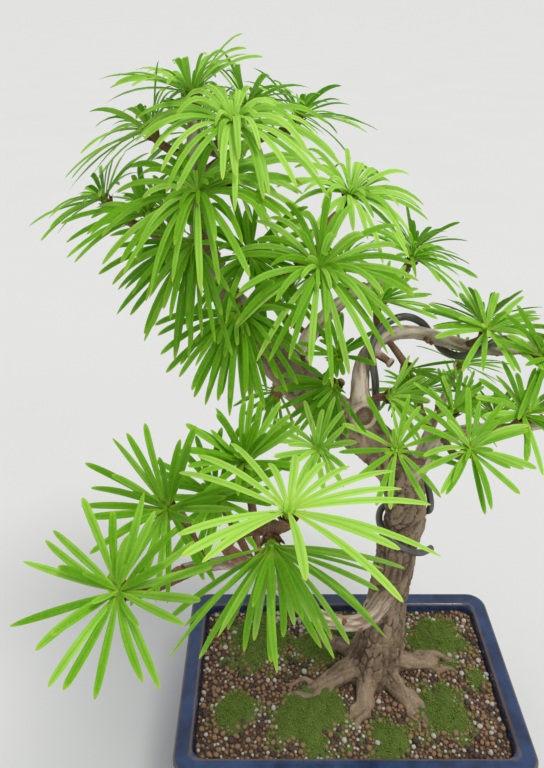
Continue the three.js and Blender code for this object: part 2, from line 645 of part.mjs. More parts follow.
// Needle k before it looks for room: in two whorls, every second one steeper, over part of the circle or all
function whorled({ bearings, count, spread, length }, k, start, draw) {
  const [from, to] = bearings ?? [start, start + 360];
  return [
    from + ((to - from) * (bearings ? k + 0.5 : k)) / count + (draw() - 0.5) * 2 * WHORL.jitter,
    spread - (k % 2) * WHORL.lift + (draw() - 0.5) * 2 * WHORL.jitter,
    length * THREE.MathUtils.lerp(WHORL.shortest, 1, draw()),
  ];
}

function growSpray(spray, draw) {
  const start = draw() * 360;
  const grown = [];
  for (let k = 0; k < spray.count; k += 1) {
    const byHand = spray.name === 'front_hero' && FRONT_NEEDLES[k];
    const [bearing, polar, reach] = byHand || whorled(spray, k, start, draw);
    const n = firstClear(spray, bearing, polar, reach, (draw() - 0.5) * 2 * WHORL.sway);
    if (n) {
      placed.push(n);
      grown.push(n);
    }
  }
  return grown;
}

// A needle's section in its spray's own frame: left edge, keel and right edge
function section(n, u, scale) {
  const ahead = needlePoint(n, u + 0.05).sub(needlePoint(n, u - 0.05)).normalize();
  const side = n.side.clone().addScaledVector(ahead, -n.side.dot(ahead)).normalize();
  const face = side.clone().cross(ahead).normalize();
  face.multiplyScalar(face.dot(n.axis) < 0 ? -1 : 1);
  const middle = needlePoint(n, u).sub(n.origin);
  return [
    middle.clone().addScaledVector(side, (-scale * NEEDLE.width) / 2),
    middle.clone().addScaledVector(face, -scale * NEEDLE.keel),
    middle.clone().addScaledVector(side, (scale * NEEDLE.width) / 2),
  ];
}

// Facets round the core of a spray: one for each needle, and idle ones where the gap is wide
function facetsOf(needles) {
  const full = (turn) => ((turn % 360) + 360) % 360;
  const facets = needles.map((n) => ({ turn: full(n.bearing), n })).sort((a, b) => a.turn - b.turn);
  const spaced = facets.flatMap((facet, i) => {
    const gap = i + 1 < facets.length ? facets[i + 1].turn - facet.turn : facets[0].turn + 360 - facet.turn;
    const parts = Math.ceil(gap / CORE.widestGap);
    const idle = Array.from({ length: parts - 1 }, (_, j) => ({ turn: facet.turn + (gap * (j + 1)) / parts }));
    return [facet, ...idle];
  });
  return spaced.map((facet, i) => {
    const next = spaced[(i + 1) % spaced.length];
    return { ...facet, gap: full(next.turn - facet.turn) };
  });
}

// One closed skin: a small green heart whose facets run out into the needles
function spraySolid(spray, needles) {
  const positions = [];
  const faces = [];
  const add = (p) => positions.push(p) - 1;
  const onCore = (turn, radius, height) => add(
    outwardAt(spray, turn).multiplyScalar(radius).addScaledVector(spray.axis, height),
  );
  const top = add(spray.axis.clone().multiplyScalar(CORE.high + 1));
  const bottom = add(spray.axis.clone().multiplyScalar(-CORE.half));
  const facets = facetsOf(needles);
  facets.forEach((facet, i) => {
    const before = facets.at(i - 1);
    facet.keel = onCore(facet.turn, CORE.lowRadius, CORE.low);
    const leftTurn = Math.min(before.gap / 2, CORE.halfFacet);
    facet.left = i > 0 && before.gap / 2 <= CORE.halfFacet
      ? before.right : onCore(facet.turn - leftTurn, CORE.radius, CORE.high);
    const closes = i + 1 === facets.length && facet.gap / 2 <= CORE.halfFacet;
    facet.right = closes
      ? facets[0].left : onCore(facet.turn + Math.min(facet.gap / 2, CORE.halfFacet), CORE.radius, CORE.high);
  });
  facets.forEach((facet, i) => {
    const next = facets[(i + 1) % facets.length];
    const root = [facet.left, facet.keel, facet.right];
    faces.push([top, facet.left, facet.right], [bottom, next.keel, facet.keel]);
    faces.push([facet.right, facet.keel, next.keel]);
    if (facet.right !== next.left) {
      faces.push([top, facet.right, next.left], [facet.right, next.keel, next.left]);
    }
    if (!facet.n) {
      faces.push(root);
      return;
    }
    const rings = [root, ...NEEDLE.sections.map(([u, scale]) => section(facet.n, u, scale).map(add))];
    const tip = add(needlePoint(facet.n, 1).sub(spray.at));
    rings.forEach((ring, r) => [0, 1, 2].forEach((k) => {
      const [p, q] = [ring[k], ring[(k + 1) % 3]];
      if (r + 1 < rings.length) {
        const [p2, q2] = [rings[r + 1][k], rings[r + 1][(k + 1) % 3]];
        faces.push([p, q, q2], [p, q2, p2]);
      } else {
        faces.push([p, q, tip]);
      }
    }));
  });
  return solid(indexed(positions, faces));
}

// The tree in its pot

function mesh(name, manifold, color, roughness, metalness = 0) {
  const piece = new THREE.Mesh(
    geometryOf(manifold),
    new THREE.MeshStandardMaterial({ color, roughness, metalness }),
  );
  piece.name = name;
  return piece;
}

const bonsai = new THREE.Group();
bonsai.name = 'bonsai';
bonsai.add(
  mesh('pot', pot(), COLOURS.glaze, 0.18),
  mesh('soil', soil(), COLOURS.soil, 0.95),
  mesh('trunk_and_branches', wood(), COLOURS.bark, 0.85),
  mesh('training_wire', tube(wirePoints, WIRE.radius, WIRE.sides, WIRE.steps), COLOURS.wire, 0.4, 0.8),
);
DRAINS.forEach((x, i) => {
  const sideName = ['left', 'right'][i];
  bonsai.add(
    mesh(`drain_mesh_${sideName}`, drainMesh(x), COLOURS.mesh, 0.6),
    mesh(`drain_clip_${sideName}`, drainClip(x), COLOURS.clip, 0.4, 1),
  );
});

const draw = drawer(SEED);
SPRAYS.forEach((spray) => {
  const needles = growSpray(spray, draw);
  const piece = mesh(`needles_${spray.name}`, spraySolid(spray, needles), COLOURS.needle, 0.55);
  piece.position.copy(spray.at);
  bonsai.add(piece);
});

const middle = new THREE.Box3().setFromObject(bonsai, true).getCenter(new THREE.Vector3());
bonsai.position.set(-middle.x, -middle.y, 0);

export default bonsai;
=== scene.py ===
import math

import bmesh
import bpy
import numpy as np
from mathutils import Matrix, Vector, noise


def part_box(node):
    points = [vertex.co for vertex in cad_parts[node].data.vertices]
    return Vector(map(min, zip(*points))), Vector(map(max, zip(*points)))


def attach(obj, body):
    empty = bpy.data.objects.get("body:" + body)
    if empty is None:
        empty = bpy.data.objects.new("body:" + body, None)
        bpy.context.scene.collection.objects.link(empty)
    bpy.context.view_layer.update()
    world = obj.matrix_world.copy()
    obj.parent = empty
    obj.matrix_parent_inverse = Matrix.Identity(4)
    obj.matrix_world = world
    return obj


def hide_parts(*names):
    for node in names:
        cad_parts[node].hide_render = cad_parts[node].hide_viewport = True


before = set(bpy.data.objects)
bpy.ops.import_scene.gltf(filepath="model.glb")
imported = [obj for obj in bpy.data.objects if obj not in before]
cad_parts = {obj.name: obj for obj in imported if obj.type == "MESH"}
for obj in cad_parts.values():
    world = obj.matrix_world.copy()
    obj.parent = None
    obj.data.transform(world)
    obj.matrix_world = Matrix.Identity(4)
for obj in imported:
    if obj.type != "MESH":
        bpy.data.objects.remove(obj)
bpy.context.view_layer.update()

MM = 0.001
TAU = 2 * math.pi
UP = np.array([0.0, 0.0, 1.0])
FRONT = np.array([0.0, -1.0, 0.0])

pot_low, pot_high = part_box("pot")
ORIGIN = np.array([(pot_low[0] + pot_high[0]) / 2, (pot_low[1] + pot_high[1]) / 2, 0.0])

# Camera: where it stands, how far it looks down, and its focal length in frame heights

CAMERA = {"at": (-50, -300, 460), "down": 30, "focal": 680 / 768}

# Sizes of the parts, as in the solids

CLEARANCE = 0.3
POT = {
    "width": 220, "depth": 140, "height": 62, "corner": 12, "foot": 8, "floor": 7, "wall": 6, "lip": 5,
    "lip_height": 9, "taper": 8, "edge": 1.5, "drain_radius": 11, "drain_spacing": 104,
}
FOOT = {"length": 32, "width": 24, "taper": 3, "inset": 5}
SOIL = {"edge": 56, "shoulder": 59, "crown": 61, "shoulder_in": 16, "crown_in": 36}
MESH = {"thick": 1.2, "pitch": 8}
CLIP = {"wire": 1.6, "reach": 16}
NEEDLE = {"width": 3.0, "sunk": 2.3, "arch": 2.6}
CORE = {"radius": 3.0, "high": 1.1, "half": 2.1}
SPUR = {"foot": 1.7, "tip": 2.1, "slant": 0.35, "leave": 0.3, "arrive": 0.38}
WIRE = {"radius": 2.0}
ROOT = {"tip": 2.4, "rise": 11, "knee": 0.5, "dive": 6}
CUT_FLARE = 1.25

# Routes of the wood, each with its radius at even steps from root to tip and how young its bark is

LIMBS = {
    "trunk": {
        "route": [
            (15, 6, 38), (18, 5, 62), (21, 5, 95), (23, 5, 132), (25, 5, 172), (27, 3, 201), (21, 2, 226),
            (6, 4, 247), (-19, 6, 266), (-41, 8, 290), (-60, 10, 312), (-77, 14, 338), (-84, 18, 364),
            (-85, 20, 391), (-85, 23, 411),
        ],
        "radii": [21, 17.4, 13.6, 12.4, 11.9, 11.6, 11.4, 10.8, 9.6, 6.8, 4.8, 3.0],
        "steps": 22, "young": 0.0,
    },
    "front": {
        "route": [
            (24, 5, 136), (4, -28, 146), (-22, -54, 176), (-44, -76, 220), (-62, -94, 256), (-84, -112, 270),
        ],
        "radii": [6.6, 4.4, 3.6, 3.0, 2.4],
        "steps": 8, "young": 0.12,
    },
    "hero_twig": {
        "route": [(-62, -95, 258), (-67, -110, 280), (-62, -121, 297), (-52, -129, 306), (-47, -133, 310)],
        "radii": [2.6, 2.3, 2.1],
        "steps": 6, "young": 0.85,
    },
    "right": {
        "route": [
            (-6, 5, 254), (-3, 3, 268), (-4, 9, 281), (-1, 17, 293), (6, 21, 301), (17, 23, 305),
            (30, 23, 304), (49, 20, 299), (73, 18, 297), (98, 15, 304),
        ],
        "radii": [9.4, 4.8, 3.7, 3.5, 3.4, 3.0, 2.4],
        "steps": 13, "young": 0.25,
    },
    "low_right": {
        "route": [(20, 3, 222), (31, -4, 238), (38, -6, 256), (52, -10, 265), (72, -13, 268), (94, -14, 274)],
        "radii": [6.2, 4.0, 3.4, 2.8, 2.2],
        "steps": 8, "young": 0.3,
    },
    "crown_right": {
        "route": [
            (-64, 11, 317), (-50, 4, 337), (-36, -3, 350), (-29, -2, 358), (-23, 9, 368), (-15, 24, 369),
        ],
        "radii": [4.6, 3.0, 2.2, 1.8],
        "steps": 8, "young": 0.95,
    },
    "left": {
        "route": [(-78, 14, 340), (-94, 24, 348), (-110, 32, 356), (-124, 38, 360)],
        "radii": [4.4, 3.2, 2.6, 2.0],
        "steps": 6, "young": 0.6,
    },
    "back": {
        "route": [(-38, 8, 287), (-28, 34, 300), (-8, 54, 311), (16, 66, 317), (30, 84, 316)],
        "radii": [5.4, 4.0, 3.0, 2.2],
        "steps": 7, "young": 0.4,
    },
    "back_low": {
        "route": [(24, 5, 160), (31, 27, 180), (45, 53, 208), (64, 80, 236)],
        "radii": [5.8, 4.2, 3.2, 2.2],
        "steps": 6, "young": 0.4,
    },
    "crown_back": {
        "route": [(-85, 20, 384), (-72, 38, 391), (-56, 56, 396), (-42, 68, 398)],
        "radii": [3.0, 2.4, 2.0, 1.8],
        "steps": 5, "young": 0.8,
    },
}

# Surface roots: bearing from +X in degrees, reach from the middle of the trunk, radius where they leave it
ROOTS = [(200, 70, 9.4), (250, 50, 8.4), (308, 58, 9.2), (6, 66, 8.6), (76, 48, 8.0), (140, 58, 8.8)]

# Fine roots on each: share of it where they leave, turn from it, reach against its reach and radius there,
# and how they run on: share of that reach, share of the sway to one side, height over the soil
ROOTLETS = [(0.5, 5, 0.50, 3.6), (0.42, 30, 0.40, 2.5), (0.58, -26, 0.36, 2.2)]
ROOTLET_TIP = 1.1
ROOTLET_RUN = [(0.35, 1, 0.5), (0.7, -0.4, 0.1), (1.0, 0.6, -3.2)]
ROOTLET_SWAY = 0.16

# Old cuts: where the branch was pruned off, which way the cut faces, its radius and how far it stands out
CUTS = [
    ((-4, 4, 266), (0.16, -0.88, 0.42), 6.4, 10),
    ((4, 18, 296), (0.62, -0.55, -0.25), 2.2, 11),
    ((24, 5, 120), (-0.9, -0.35, 0.3), 5.0, 15),
]

# The wire that trains the right branch, by limb: share of its length, angle round it, how far it stands off
WIRE_ROUTE = {
    "trunk": [
        (0.33, 82, 6), (0.34, 48, 1.6), (0.354, 8, 1.1), (0.366, 325, 1.1), (0.374, 280, 1), (0.376, 232, 1),
        (0.372, 185, 1), (0.372, 138, 1), (0.386, 104, 1.2), (0.408, 104, 1.2), (0.432, 124, 1.4),
        (0.46, 145, 1.6), (0.5, 155, 1.6), (0.54, 156, 1.8),
    ],
    "right": [
        (0.095, 125, 2.2), (0.16, 100, 1.5), (0.22, 66, 1.4), (0.275, 18, 2.0), (0.335, 330, 2.4),
        (0.4, 290, 2.8), (0.46, 262, 2.6), (0.52, 215, 1.2), (0.57, 160, 0.8), (0.62, 105, 0.8),
        (0.67, 45, 0.8), (0.72, 350, 0.8), (0.77, 295, 0.8), (0.82, 240, 0.8), (0.87, 185, 0.8),
        (0.92, 140, 0.8),
    ],
}

# Needles of the open spray at the front, listed one by one: bearing, angle from the axis, length
FRONT_NEEDLES = [
    (14, 86, 46), (27, 86, 42), (40, 83, 46), (55, 82, 36), (70, 82, 34), (83, 81, 36), (98, 82, 30),
    (116, 79, 46), (130, 80, 44), (146, 85, 44), (206, 84, 33), (220, 85, 36), (233, 79, 38),
    (278, 82, 34), (309, 87, 46), (323, 82, 35), (338, 86, 45),
]

# Needle sprays: name, middle, limb, the way it faces, needle length, angle of the needles from that axis,
# droop, number of long needles, how young it is and how lit it looks, which paints light and shade into its
# green (low for shaded sprays, high for lit ones), and the part of the circle they fill if it isn't all of it
SPRAYS = [
    ("front_hero", (-45, -136, 319), "hero_twig", (0.03, 0.18, 1), 46, 86, 0.32, 17, 1.0),
    ("apex_front", (-67, 12, 410), "trunk", (0.15, -0.3, 1), 47, 80, 0.9, 16, 0.75),
    ("front_under", (-50, -136, 305.5), "hero_twig", (0.1, -0.85, -0.3), 44, 76, 0.3, 13, 0.5, (172, 368)),
    ("front_left", (-90, -98, 288), "front", (-0.35, -0.75, 0.55), 35, 78, 0.12, 13, 0.45),
    ("front_far_left", (-103, -132, 280), "front", (-0.15, -0.5, 0.85), 34, 80, 0.12, 11, 0.5),
    ("middle_front", (-29, -14, 354), "crown_right", (0.05, -0.75, 0.6), 43, 82, 0.6, 15, 0.55),
    ("upper_left", (-82, -4, 384), "trunk", (-0.25, -0.5, 0.85), 47, 84, 0.7, 15, 0.55),
    ("shoot_right", (-12, 32, 374), "crown_right", (0.25, -0.3, 0.9), 40, 74, 0.8, 13, 0.75),
    ("middle_left", (-84, -8, 364), "trunk", (-0.5, -0.75, 0), 43, 66, 0.5, 11, 0.4, (160, 330)),
    ("lower_left", (-65, -16, 333), "trunk", (-0.2, -0.85, 0.2), 37, 74, 0.5, 13, 0.4, (150, 390)),
    ("inner_crown", (-60, 2, 354), "trunk", (0.2, -0.75, 0.5), 38, 80, 0.5, 12, 0.3),
    ("bright_bud", (-70, 24, 384), "trunk", (0.7, -0.3, 0.5), 42, 62, 0.5, 9, 0.9),
    ("knob_star", (8, -41, 275), "low_right", (0.05, -0.6, 0.8), 28, 84, 0.15, 11, 0.55),
    ("right_edge", (38, -52, 283), "low_right", (0.1, -0.55, 0.8), 28, 84, 0.2, 10, 0.6),
    ("right_twig", (42, -8, 276), "low_right", (0.1, -0.1, 1), 23, 62, 0.1, 9, 0.6),
    ("wire_right", (10, -3, 281), "right", (0.75, -0.55, 0.3), 25, 70, 0.15, 8, 0.7, (-110, 70)),
    ("wire_under", (20, 8, 291), "right", (0.3, -0.8, -0.4), 24, 66, 0.15, 7, 0.5, (200, 380)),
    ("wire_above", (8, 36, 317), "right", (0.3, -0.1, 0.95), 30, 72, 0.2, 9, 0.6),
    ("bend_left", (-20, -20, 297), "trunk", (-0.5, -0.75, 0.1), 27, 72, 0.25, 8, 0.38, (130, 300)),
    ("bend_above", (-18, -5, 306), "trunk", (-0.2, -0.5, 0.8), 22, 60, 0.2, 7, 0.3),
    ("bright_tip", (-28, -36, 272), "trunk", (-0.25, -0.6, 0.7), 25, 64, 0.1, 7, 0.8),
    ("front_inner", (-74, -70, 270), "front", (-0.2, -0.55, 0.8), 32, 72, 0.2, 9, 0.42),
    ("front_upper", (-62, -62, 284), "front", (-0.1, -0.3, 0.95), 32, 58, 0.15, 8, 0.42),
    ("back_right", (30, 71, 328), "back", (0.4, 0, 0.9), 36, 80, 0.5, 10, 0.5),
    ("under_bend", (-47, 40, 258), "trunk", (-0.2, 0.3, -0.6), 24, 60, 0.3, 7, 0.3),
    ("apex_top", (-86, 28, 421), "trunk", (-0.2, 0.1, 1), 42, 66, 0.6, 11, 0.7),
    ("apex_back", (-62, 48, 412), "trunk", (0.3, 0.45, 0.9), 40, 80, 0.6, 10, 0.6),
    ("apex_left", (-106, 30, 404), "trunk", (-0.55, 0.15, 0.8), 42, 78, 0.6, 10, 0.6),
    ("crown_back", (-36, 74, 404), "crown_back", (0.35, 0.4, 0.85), 40, 78, 0.5, 10, 0.6),
    ("crown_back_left", (-88, 62, 398), "crown_back", (-0.3, 0.6, 0.75), 38, 76, 0.5, 10, 0.5),
    ("left_near", (-108, 16, 370), "left", (-0.3, -0.35, 0.9), 40, 82, 0.5, 10, 0.5),
    ("left_tip", (-134, 42, 370), "left", (-0.6, 0.1, 0.8), 38, 78, 0.5, 10, 0.6),
    ("left_back", (-104, 60, 356), "left", (-0.2, 0.7, 0.6), 36, 76, 0.4, 9, 0.5),
    ("wire_far_up", (58, 10, 312), "right", (0.1, -0.35, 0.95), 32, 82, 0.25, 9, 0.6),
    ("wire_far_back", (66, 40, 302), "right", (0.1, 0.65, 0.7), 34, 78, 0.3, 9, 0.5),
    ("wire_far_front", (84, -4, 304), "right", (0.2, -0.7, 0.65), 32, 80, 0.25, 8, 0.5),
    ("wire_tip", (112, 14, 314), "right", (0.65, 0, 0.75), 34, 76, 0.3, 10, 0.7),
    ("low_right_up", (72, -22, 282), "low_right", (0.1, -0.45, 0.9), 30, 82, 0.2, 9, 0.6),
    ("low_right_tip", (106, -16, 282), "low_right", (0.65, -0.15, 0.75), 32, 76, 0.25, 10, 0.7),
    ("low_right_back", (70, 8, 262), "low_right", (0.2, 0.6, 0.5), 28, 74, 0.25, 8, 0.4),
    ("back_middle", (-10, 76, 322), "back", (-0.2, 0.5, 0.85), 36, 78, 0.4, 9, 0.5),
    ("back_tip", (36, 100, 324), "back", (0.3, 0.6, 0.75), 36, 76, 0.4, 10, 0.6),
    ("back_left", (-46, 54, 306), "back", (-0.5, 0.4, 0.75), 34, 76, 0.35, 9, 0.4),
    ("back_low_near", (40, 60, 246), "back_low", (-0.1, 0.3, 0.95), 34, 80, 0.3, 9, 0.5),
    ("back_low_tip", (74, 96, 246), "back_low", (0.5, 0.5, 0.75), 36, 78, 0.3, 10, 0.6),
    ("back_low_side", (66, 56, 240), "back_low", (0.7, -0.1, 0.65), 32, 74, 0.3, 8, 0.5),
]
SPRAY_KEYS = ("name", "at", "limb", "axis", "length", "spread", "droop", "count", "youth", "bearings")

# Growth: lift of every second needle, scatter, shortest against the longest, sway; then what a needle tries
# in turn when there is no room, and the least steps and gaps that it keeps
SEED = 20
WHORL = {"lift": 15, "jitter": 6, "shortest": 0.88, "sway": 0.07}
SHIFT = {
    "bearing": (0, 8, -8, 16, -16, 24, -24), "polar": (0, -9, 9, -18, 18, -28), "length": (1, 0.8, 0.62),
}
LOWEST_LEAN = 22
LONG_CLEAR = {"step": 13, "own": 2.4, "other": 3.3, "wood": 2.2}
# The vectors that warp the bark would otherwise differ on every run
noise.seed_set(SEED)


# Numbers that look random and are the same on every run

def drawer(seed):
    mask = 0xFFFFFFFF
    state = seed

    def draw():
        nonlocal state
        state = (state + 0x6D2B79F5) & mask
        t = ((state ^ (state >> 15)) * (1 | state)) & mask
        t = ((t + (t ^ (t >> 7)) * (61 | t)) & mask) ^ t
        return ((t ^ (t >> 14)) & mask) / (mask + 1)

    return draw


def spread_draw(draw, reach):
    return (draw() - 0.5) * 2 * reach


# Arithmetic

def even(count):
    return np.linspace(0, 1, count)


def between(low, high, share):
    return low + (high - low) * share


def smooth(x, low, high):
    t = np.clip((np.asarray(x, float) - low) / (high - low), 0, 1)
    return t * t * (3 - 2 * t)


def unit(v):
    v = np.asarray(v, float)
    return v / np.linalg.norm(v, axis=-1, keepdims=True)


def turned(first, second, degrees):
    """Direction so many degrees round from the first towards the second."""
    turn = math.radians(degrees)
    return first * math.cos(turn) + second * math.sin(turn)


def outward_at(axis, bearing):
    across = unit(np.array([1.0, 0, 0]) - axis * axis[0])
    return turned(across, np.cross(axis, across), bearing)


def level(bearing):
    return np.array([math.cos(math.radians(bearing)), math.sin(math.radians(bearing)), 0])


def circle(sides):
    return np.arange(sides) * TAU / sides


# Curves

class Curve:
    """A smooth curve through a route of points, read by share of its length."""

    def __init__(self, route, tension=None):
        self.route = np.array(route, float)
        self.tension = tension
        self.shares = even(201)
        spans = np.linalg.norm(np.diff(self.points(self.shares), axis=0), axis=1)
        self.reach = np.concatenate([[0], np.cumsum(spans)])
        self.length = self.reach[-1]

    def points(self, t):
        route, spans = self.route, len(self.route) - 1
        place = np.clip(np.atleast_1d(t), 0, 1) * spans
        i = np.minimum(place.astype(int), spans - 1)
        w = (place - i)[:, None]
        padded = np.vstack([2 * route[0] - route[1], route, 2 * route[-1] - route[-2]])
        p0, p1, p2, p3 = (padded[i + k] for k in range(4))
        if self.tension is None:
            steps = (p1 - p0, p2 - p1, p3 - p2)
            d0, d1, d2 = (np.linalg.norm(step, axis=1)[:, None] ** 0.5 for step in steps)
            leave = ((p1 - p0) / d0 - (p2 - p0) / (d0 + d1) + (p2 - p1) / d1) * d1
            arrive = ((p2 - p1) / d1 - (p3 - p1) / (d1 + d2) + (p3 - p2) / d2) * d1
        else:
            leave = self.tension * (p2 - p0)
            arrive = self.tension * (p3 - p1)
        bend = -3 * p1 + 3 * p2 - 2 * leave - arrive
        return p1 + leave * w + bend * w**2 + (2 * p1 - 2 * p2 + leave + arrive) * w**3

    def at(self, share):
        return self.points(np.interp(np.atleast_1d(share) * self.length, self.reach, self.shares))

    def tangent(self, share):
        t = np.interp(share * self.length, self.reach, self.shares)
        ahead, behind = self.points([min(1, t + 1e-4), max(0, t - 1e-4)])
        return unit(ahead - behind)


class Bow(Curve):
    """A curve from two ends and the two points that pull it."""

    def points(self, t):
        t = np.atleast_1d(t)[:, None]
        a, b, c, d = self.route
        return a * (1 - t) ** 3 + 3 * b * t * (1 - t) ** 2 + 3 * c * t**2 * (1 - t) + d * t**3


CURVES = {name: Curve(limb["route"]) for name, limb in LIMBS.items()}


def radius_at(radii, share):
    return np.interp(np.clip(share, 0, 1) * (len(radii) - 1), range(len(radii)), radii)


def around(tangent):
    """Directions square to a limb: one towards the front as far as it can, the other a quarter turn on."""
    reference = UP if abs(tangent @ FRONT) > 0.9 else FRONT
    first = unit(reference - tangent * (reference @ tangent))
    return first, np.cross(tangent, first)


def on_limb(limb, share, angle, *offsets):
    """A place on a limb's bark or off it by the offsets, and the direction out of the wood there."""
    curve = CURVES[limb]
    outward = turned(*around(curve.tangent(share)), angle)
    reach = sum(offsets, radius_at(LIMBS[limb]["radii"], share))
    return curve.at(share)[0] + outward * reach, outward


def root_curve(root):
    bearing, reach, _ = root
    outward = level(bearing)
    start = CURVES["trunk"].at(0.06)[0]
    start[2] = SOIL["crown"] + ROOT["rise"]
    knee = start + outward * reach * ROOT["knee"]
    knee[2] = SOIL["crown"]
    end = start + outward * reach
    end[2] = SOIL["edge"] - ROOT["dive"]
    return Curve([start, knee, end])


def rootlet_curve(root, rootlet):
    """A fine root that leaves a thick one, wanders over the soil and dives into it."""
    share, turn, reach, _ = rootlet
    outward = level(root[0] + turn) * reach * root[1]
    across = np.array([-outward[1], outward[0], 0]) * math.copysign(ROOTLET_SWAY, turn)
    points = [root_curve(root).at(share)[0]]
    for part, sideways, rise in ROOTLET_RUN:
        point = points[0] + outward * part + across * sideways
        point[2] = soil_height(*point[:2]) + rise
        points.append(point)
    return Curve(points)


def root_lines():
    """Every root, thick and fine: its curve, its radius at either end and a thick one's bearing."""
    for root in ROOTS:
        yield root_curve(root), root[2], ROOT["tip"], root[0]
        for rootlet in ROOTLETS:
            yield rootlet_curve(root, rootlet), rootlet[3], ROOTLET_TIP, None


def spur_curve(spray):
    """The spur leaves its limb a little before the nearest point and ends square to the spray."""
    tip = spray["at"] - spray["axis"] * (CORE["half"] + CLEARANCE)
    curve = CURVES[spray["limb"]]
    shares = even(81)
    gaps = np.linalg.norm(curve.at(shares) - tip, axis=1)
    nearest = int(gaps.argmin())
    back = SPUR["slant"] * gaps[nearest] / curve.length
    start = curve.at(max(0.02, min(0.985, shares[nearest]) - back))[0]
    reach = np.linalg.norm(tip - start)
    return Bow([
        start, start + (tip - start) * SPUR["leave"], tip - spray["axis"] * SPUR["arrive"] * reach, tip,
    ])


WIRE_POINTS = [
    on_limb(limb, share, angle, WIRE["radius"], stand_off)[0]
    for limb, rows in WIRE_ROUTE.items() for share, angle, stand_off in rows
]
SPRAYS = [dict(zip(SPRAY_KEYS, row)) for row in SPRAYS]
for spray in SPRAYS:
    spray.setdefault("bearings", None)
    spray["at"] = np.array(spray["at"], float)
    spray["axis"] = unit(spray["axis"])
    spray["spur"] = spur_curve(spray)


# Growth of the needles: each keeps clear of the wood, the wire, the other hearts and the needles before it

def gaps_between(p, q, a, b):
    """Shortest distances between segments p-q and a-b, for every pairing."""
    u = (q - p)[:, None]
    v = (b - a)[None]
    w = p[:, None] - a[None]
    uu, uv, vv = (u * u).sum(-1), (u * v).sum(-1), (v * v).sum(-1)
    uw, vw = (u * w).sum(-1), (v * w).sum(-1)
    across = uu * vv - uv * uv
    s = np.where(across > 1e-9, (uv * vw - vv * uw) / np.maximum(across, 1e-9), 0).clip(0, 1)
    t = ((uv * s + vw) / np.maximum(vv, 1e-12)).clip(0, 1)
    s = ((uv * t - uw) / np.maximum(uu, 1e-12)).clip(0, 1)
    return np.linalg.norm(w + u * s[..., None] - v * t[..., None], axis=-1)


class Bars:
    """Round bars that the needles keep clear of."""

    def __init__(self):
        self.a, self.b, self.radius, self.owner = [], [], [], []

    def add(self, points, radius, owner=""):
        for i in range(len(points) - 1):
            self.a.append(points[i])
            self.b.append(points[i + 1])
            self.radius.append(radius((i + 0.5) / (len(points) - 1)))
            self.owner.append(owner)

    def near(self, point, reach):
        a, b = np.array(self.a), np.array(self.b)
        close = np.linalg.norm((a + b) / 2 - point, axis=1) < reach
        return a[close], b[close], np.array(self.radius)[close], np.array(self.owner)[close]


def spur_radius(share):
    return between(SPUR["foot"], SPUR["tip"], share)


def all_bars():
    bars = Bars()
    for name, limb in LIMBS.items():
        points = CURVES[name].at(even(2 * limb["steps"] + 1))
        bars.add(points, lambda t, radii=limb["radii"]: radius_at(radii, t))
    for spray in SPRAYS:
        at, axis = spray["at"], spray["axis"]
        heart = [at - axis * CORE["half"], at + axis * CORE["high"]]
        bars.add(spray["spur"].points(even(7)), spur_radius, spray["name"])
        bars.add(heart, lambda t: CORE["radius"], spray["name"])
    bars.add(Curve(WIRE_POINTS).points(even(91)), lambda t: WIRE["radius"])
    for start, facing, radius, stand in CUTS:
        bars.add([np.array(start), np.array(start) + unit(facing) * stand], lambda t, r=radius: r)
    return bars


def needle_points(n, u):
    """Points of a needle at shares u: straight out, then sagging and swaying a little."""
    u = np.asarray(u, float)[:, None]
    late = np.maximum(u, 0)
    fall = UP * (0.5 * n["droop"]) * late ** NEEDLE["arch"] - n["side"] * n["sway"] * late**2
    return n["root"] + n["length"] * (n["direction"] * u - fall)


def needle(spray, bearing, polar, length, sway, sunk, bend):
    axis = spray["axis"]
    outward = outward_at(axis, bearing)
    n = {
        "spray": spray["name"], "bearing": bearing, "axis": axis, "length": length, "sway": sway,
        "droop": spray["droop"] * bend, "side": np.cross(axis, outward),
        "direction": turned(axis, outward, polar),
        "root": spray["at"] + outward * (CORE["radius"] - sunk) + axis * (CORE["high"] + 0.7 * sunk),
    }
    n["path"] = needle_points(n, [0, 0.3, 0.65, 1])
    return n


def is_clear(n, own, others, bars, least):
    if any(abs((n["bearing"] - o["bearing"] + 180) % 360 - 180) < least["step"] for o in own):
        return False
    p, q = n["path"][:-1], n["path"][1:]
    own_paths = np.array([o["path"][1:] for o in own])
    for paths, first, gap in ((own_paths, 1, least["own"]), (others, 0, least["other"])):
        if len(paths):
            starts, ends = paths[:, :-1].reshape(-1, 3), paths[:, 1:].reshape(-1, 3)
            if (gaps_between(p[first:], q[first:], starts, ends) < gap).any():
                return False
    a, b, radius, owner = bars
    tight = gaps_between(p, q, a, b) < radius + least["wood"]
    tight[0] &= owner != n["spray"]
    return not tight.any()


def first_clear(spray, bearing, polar, length, sway, surroundings, least, sunk=0.0, bend=1.0):
    for shorter in SHIFT["length"]:
        for tilt in SHIFT["polar"]:
            for turn in SHIFT["bearing"]:
                lean = max(LOWEST_LEAN, polar + tilt)
                n = needle(spray, bearing + turn, lean, length * shorter, sway, sunk, bend)
                if is_clear(n, *surroundings, least):
                    return n
    return None


def whorled(spray, k, start, draw):
    """Needle k before it looks for room: in two whorls, every second one steeper."""
    first, last = spray["bearings"] or (start, start + 360)
    bearing = first + (last - first) * (k + 0.5 if spray["bearings"] else k) / spray["count"]
    bearing += spread_draw(draw, WHORL["jitter"])
    polar = spray["spread"] - (k % 2) * WHORL["lift"] + spread_draw(draw, WHORL["jitter"])
    return bearing, polar, spray["length"] * between(WHORL["shortest"], 1, draw())


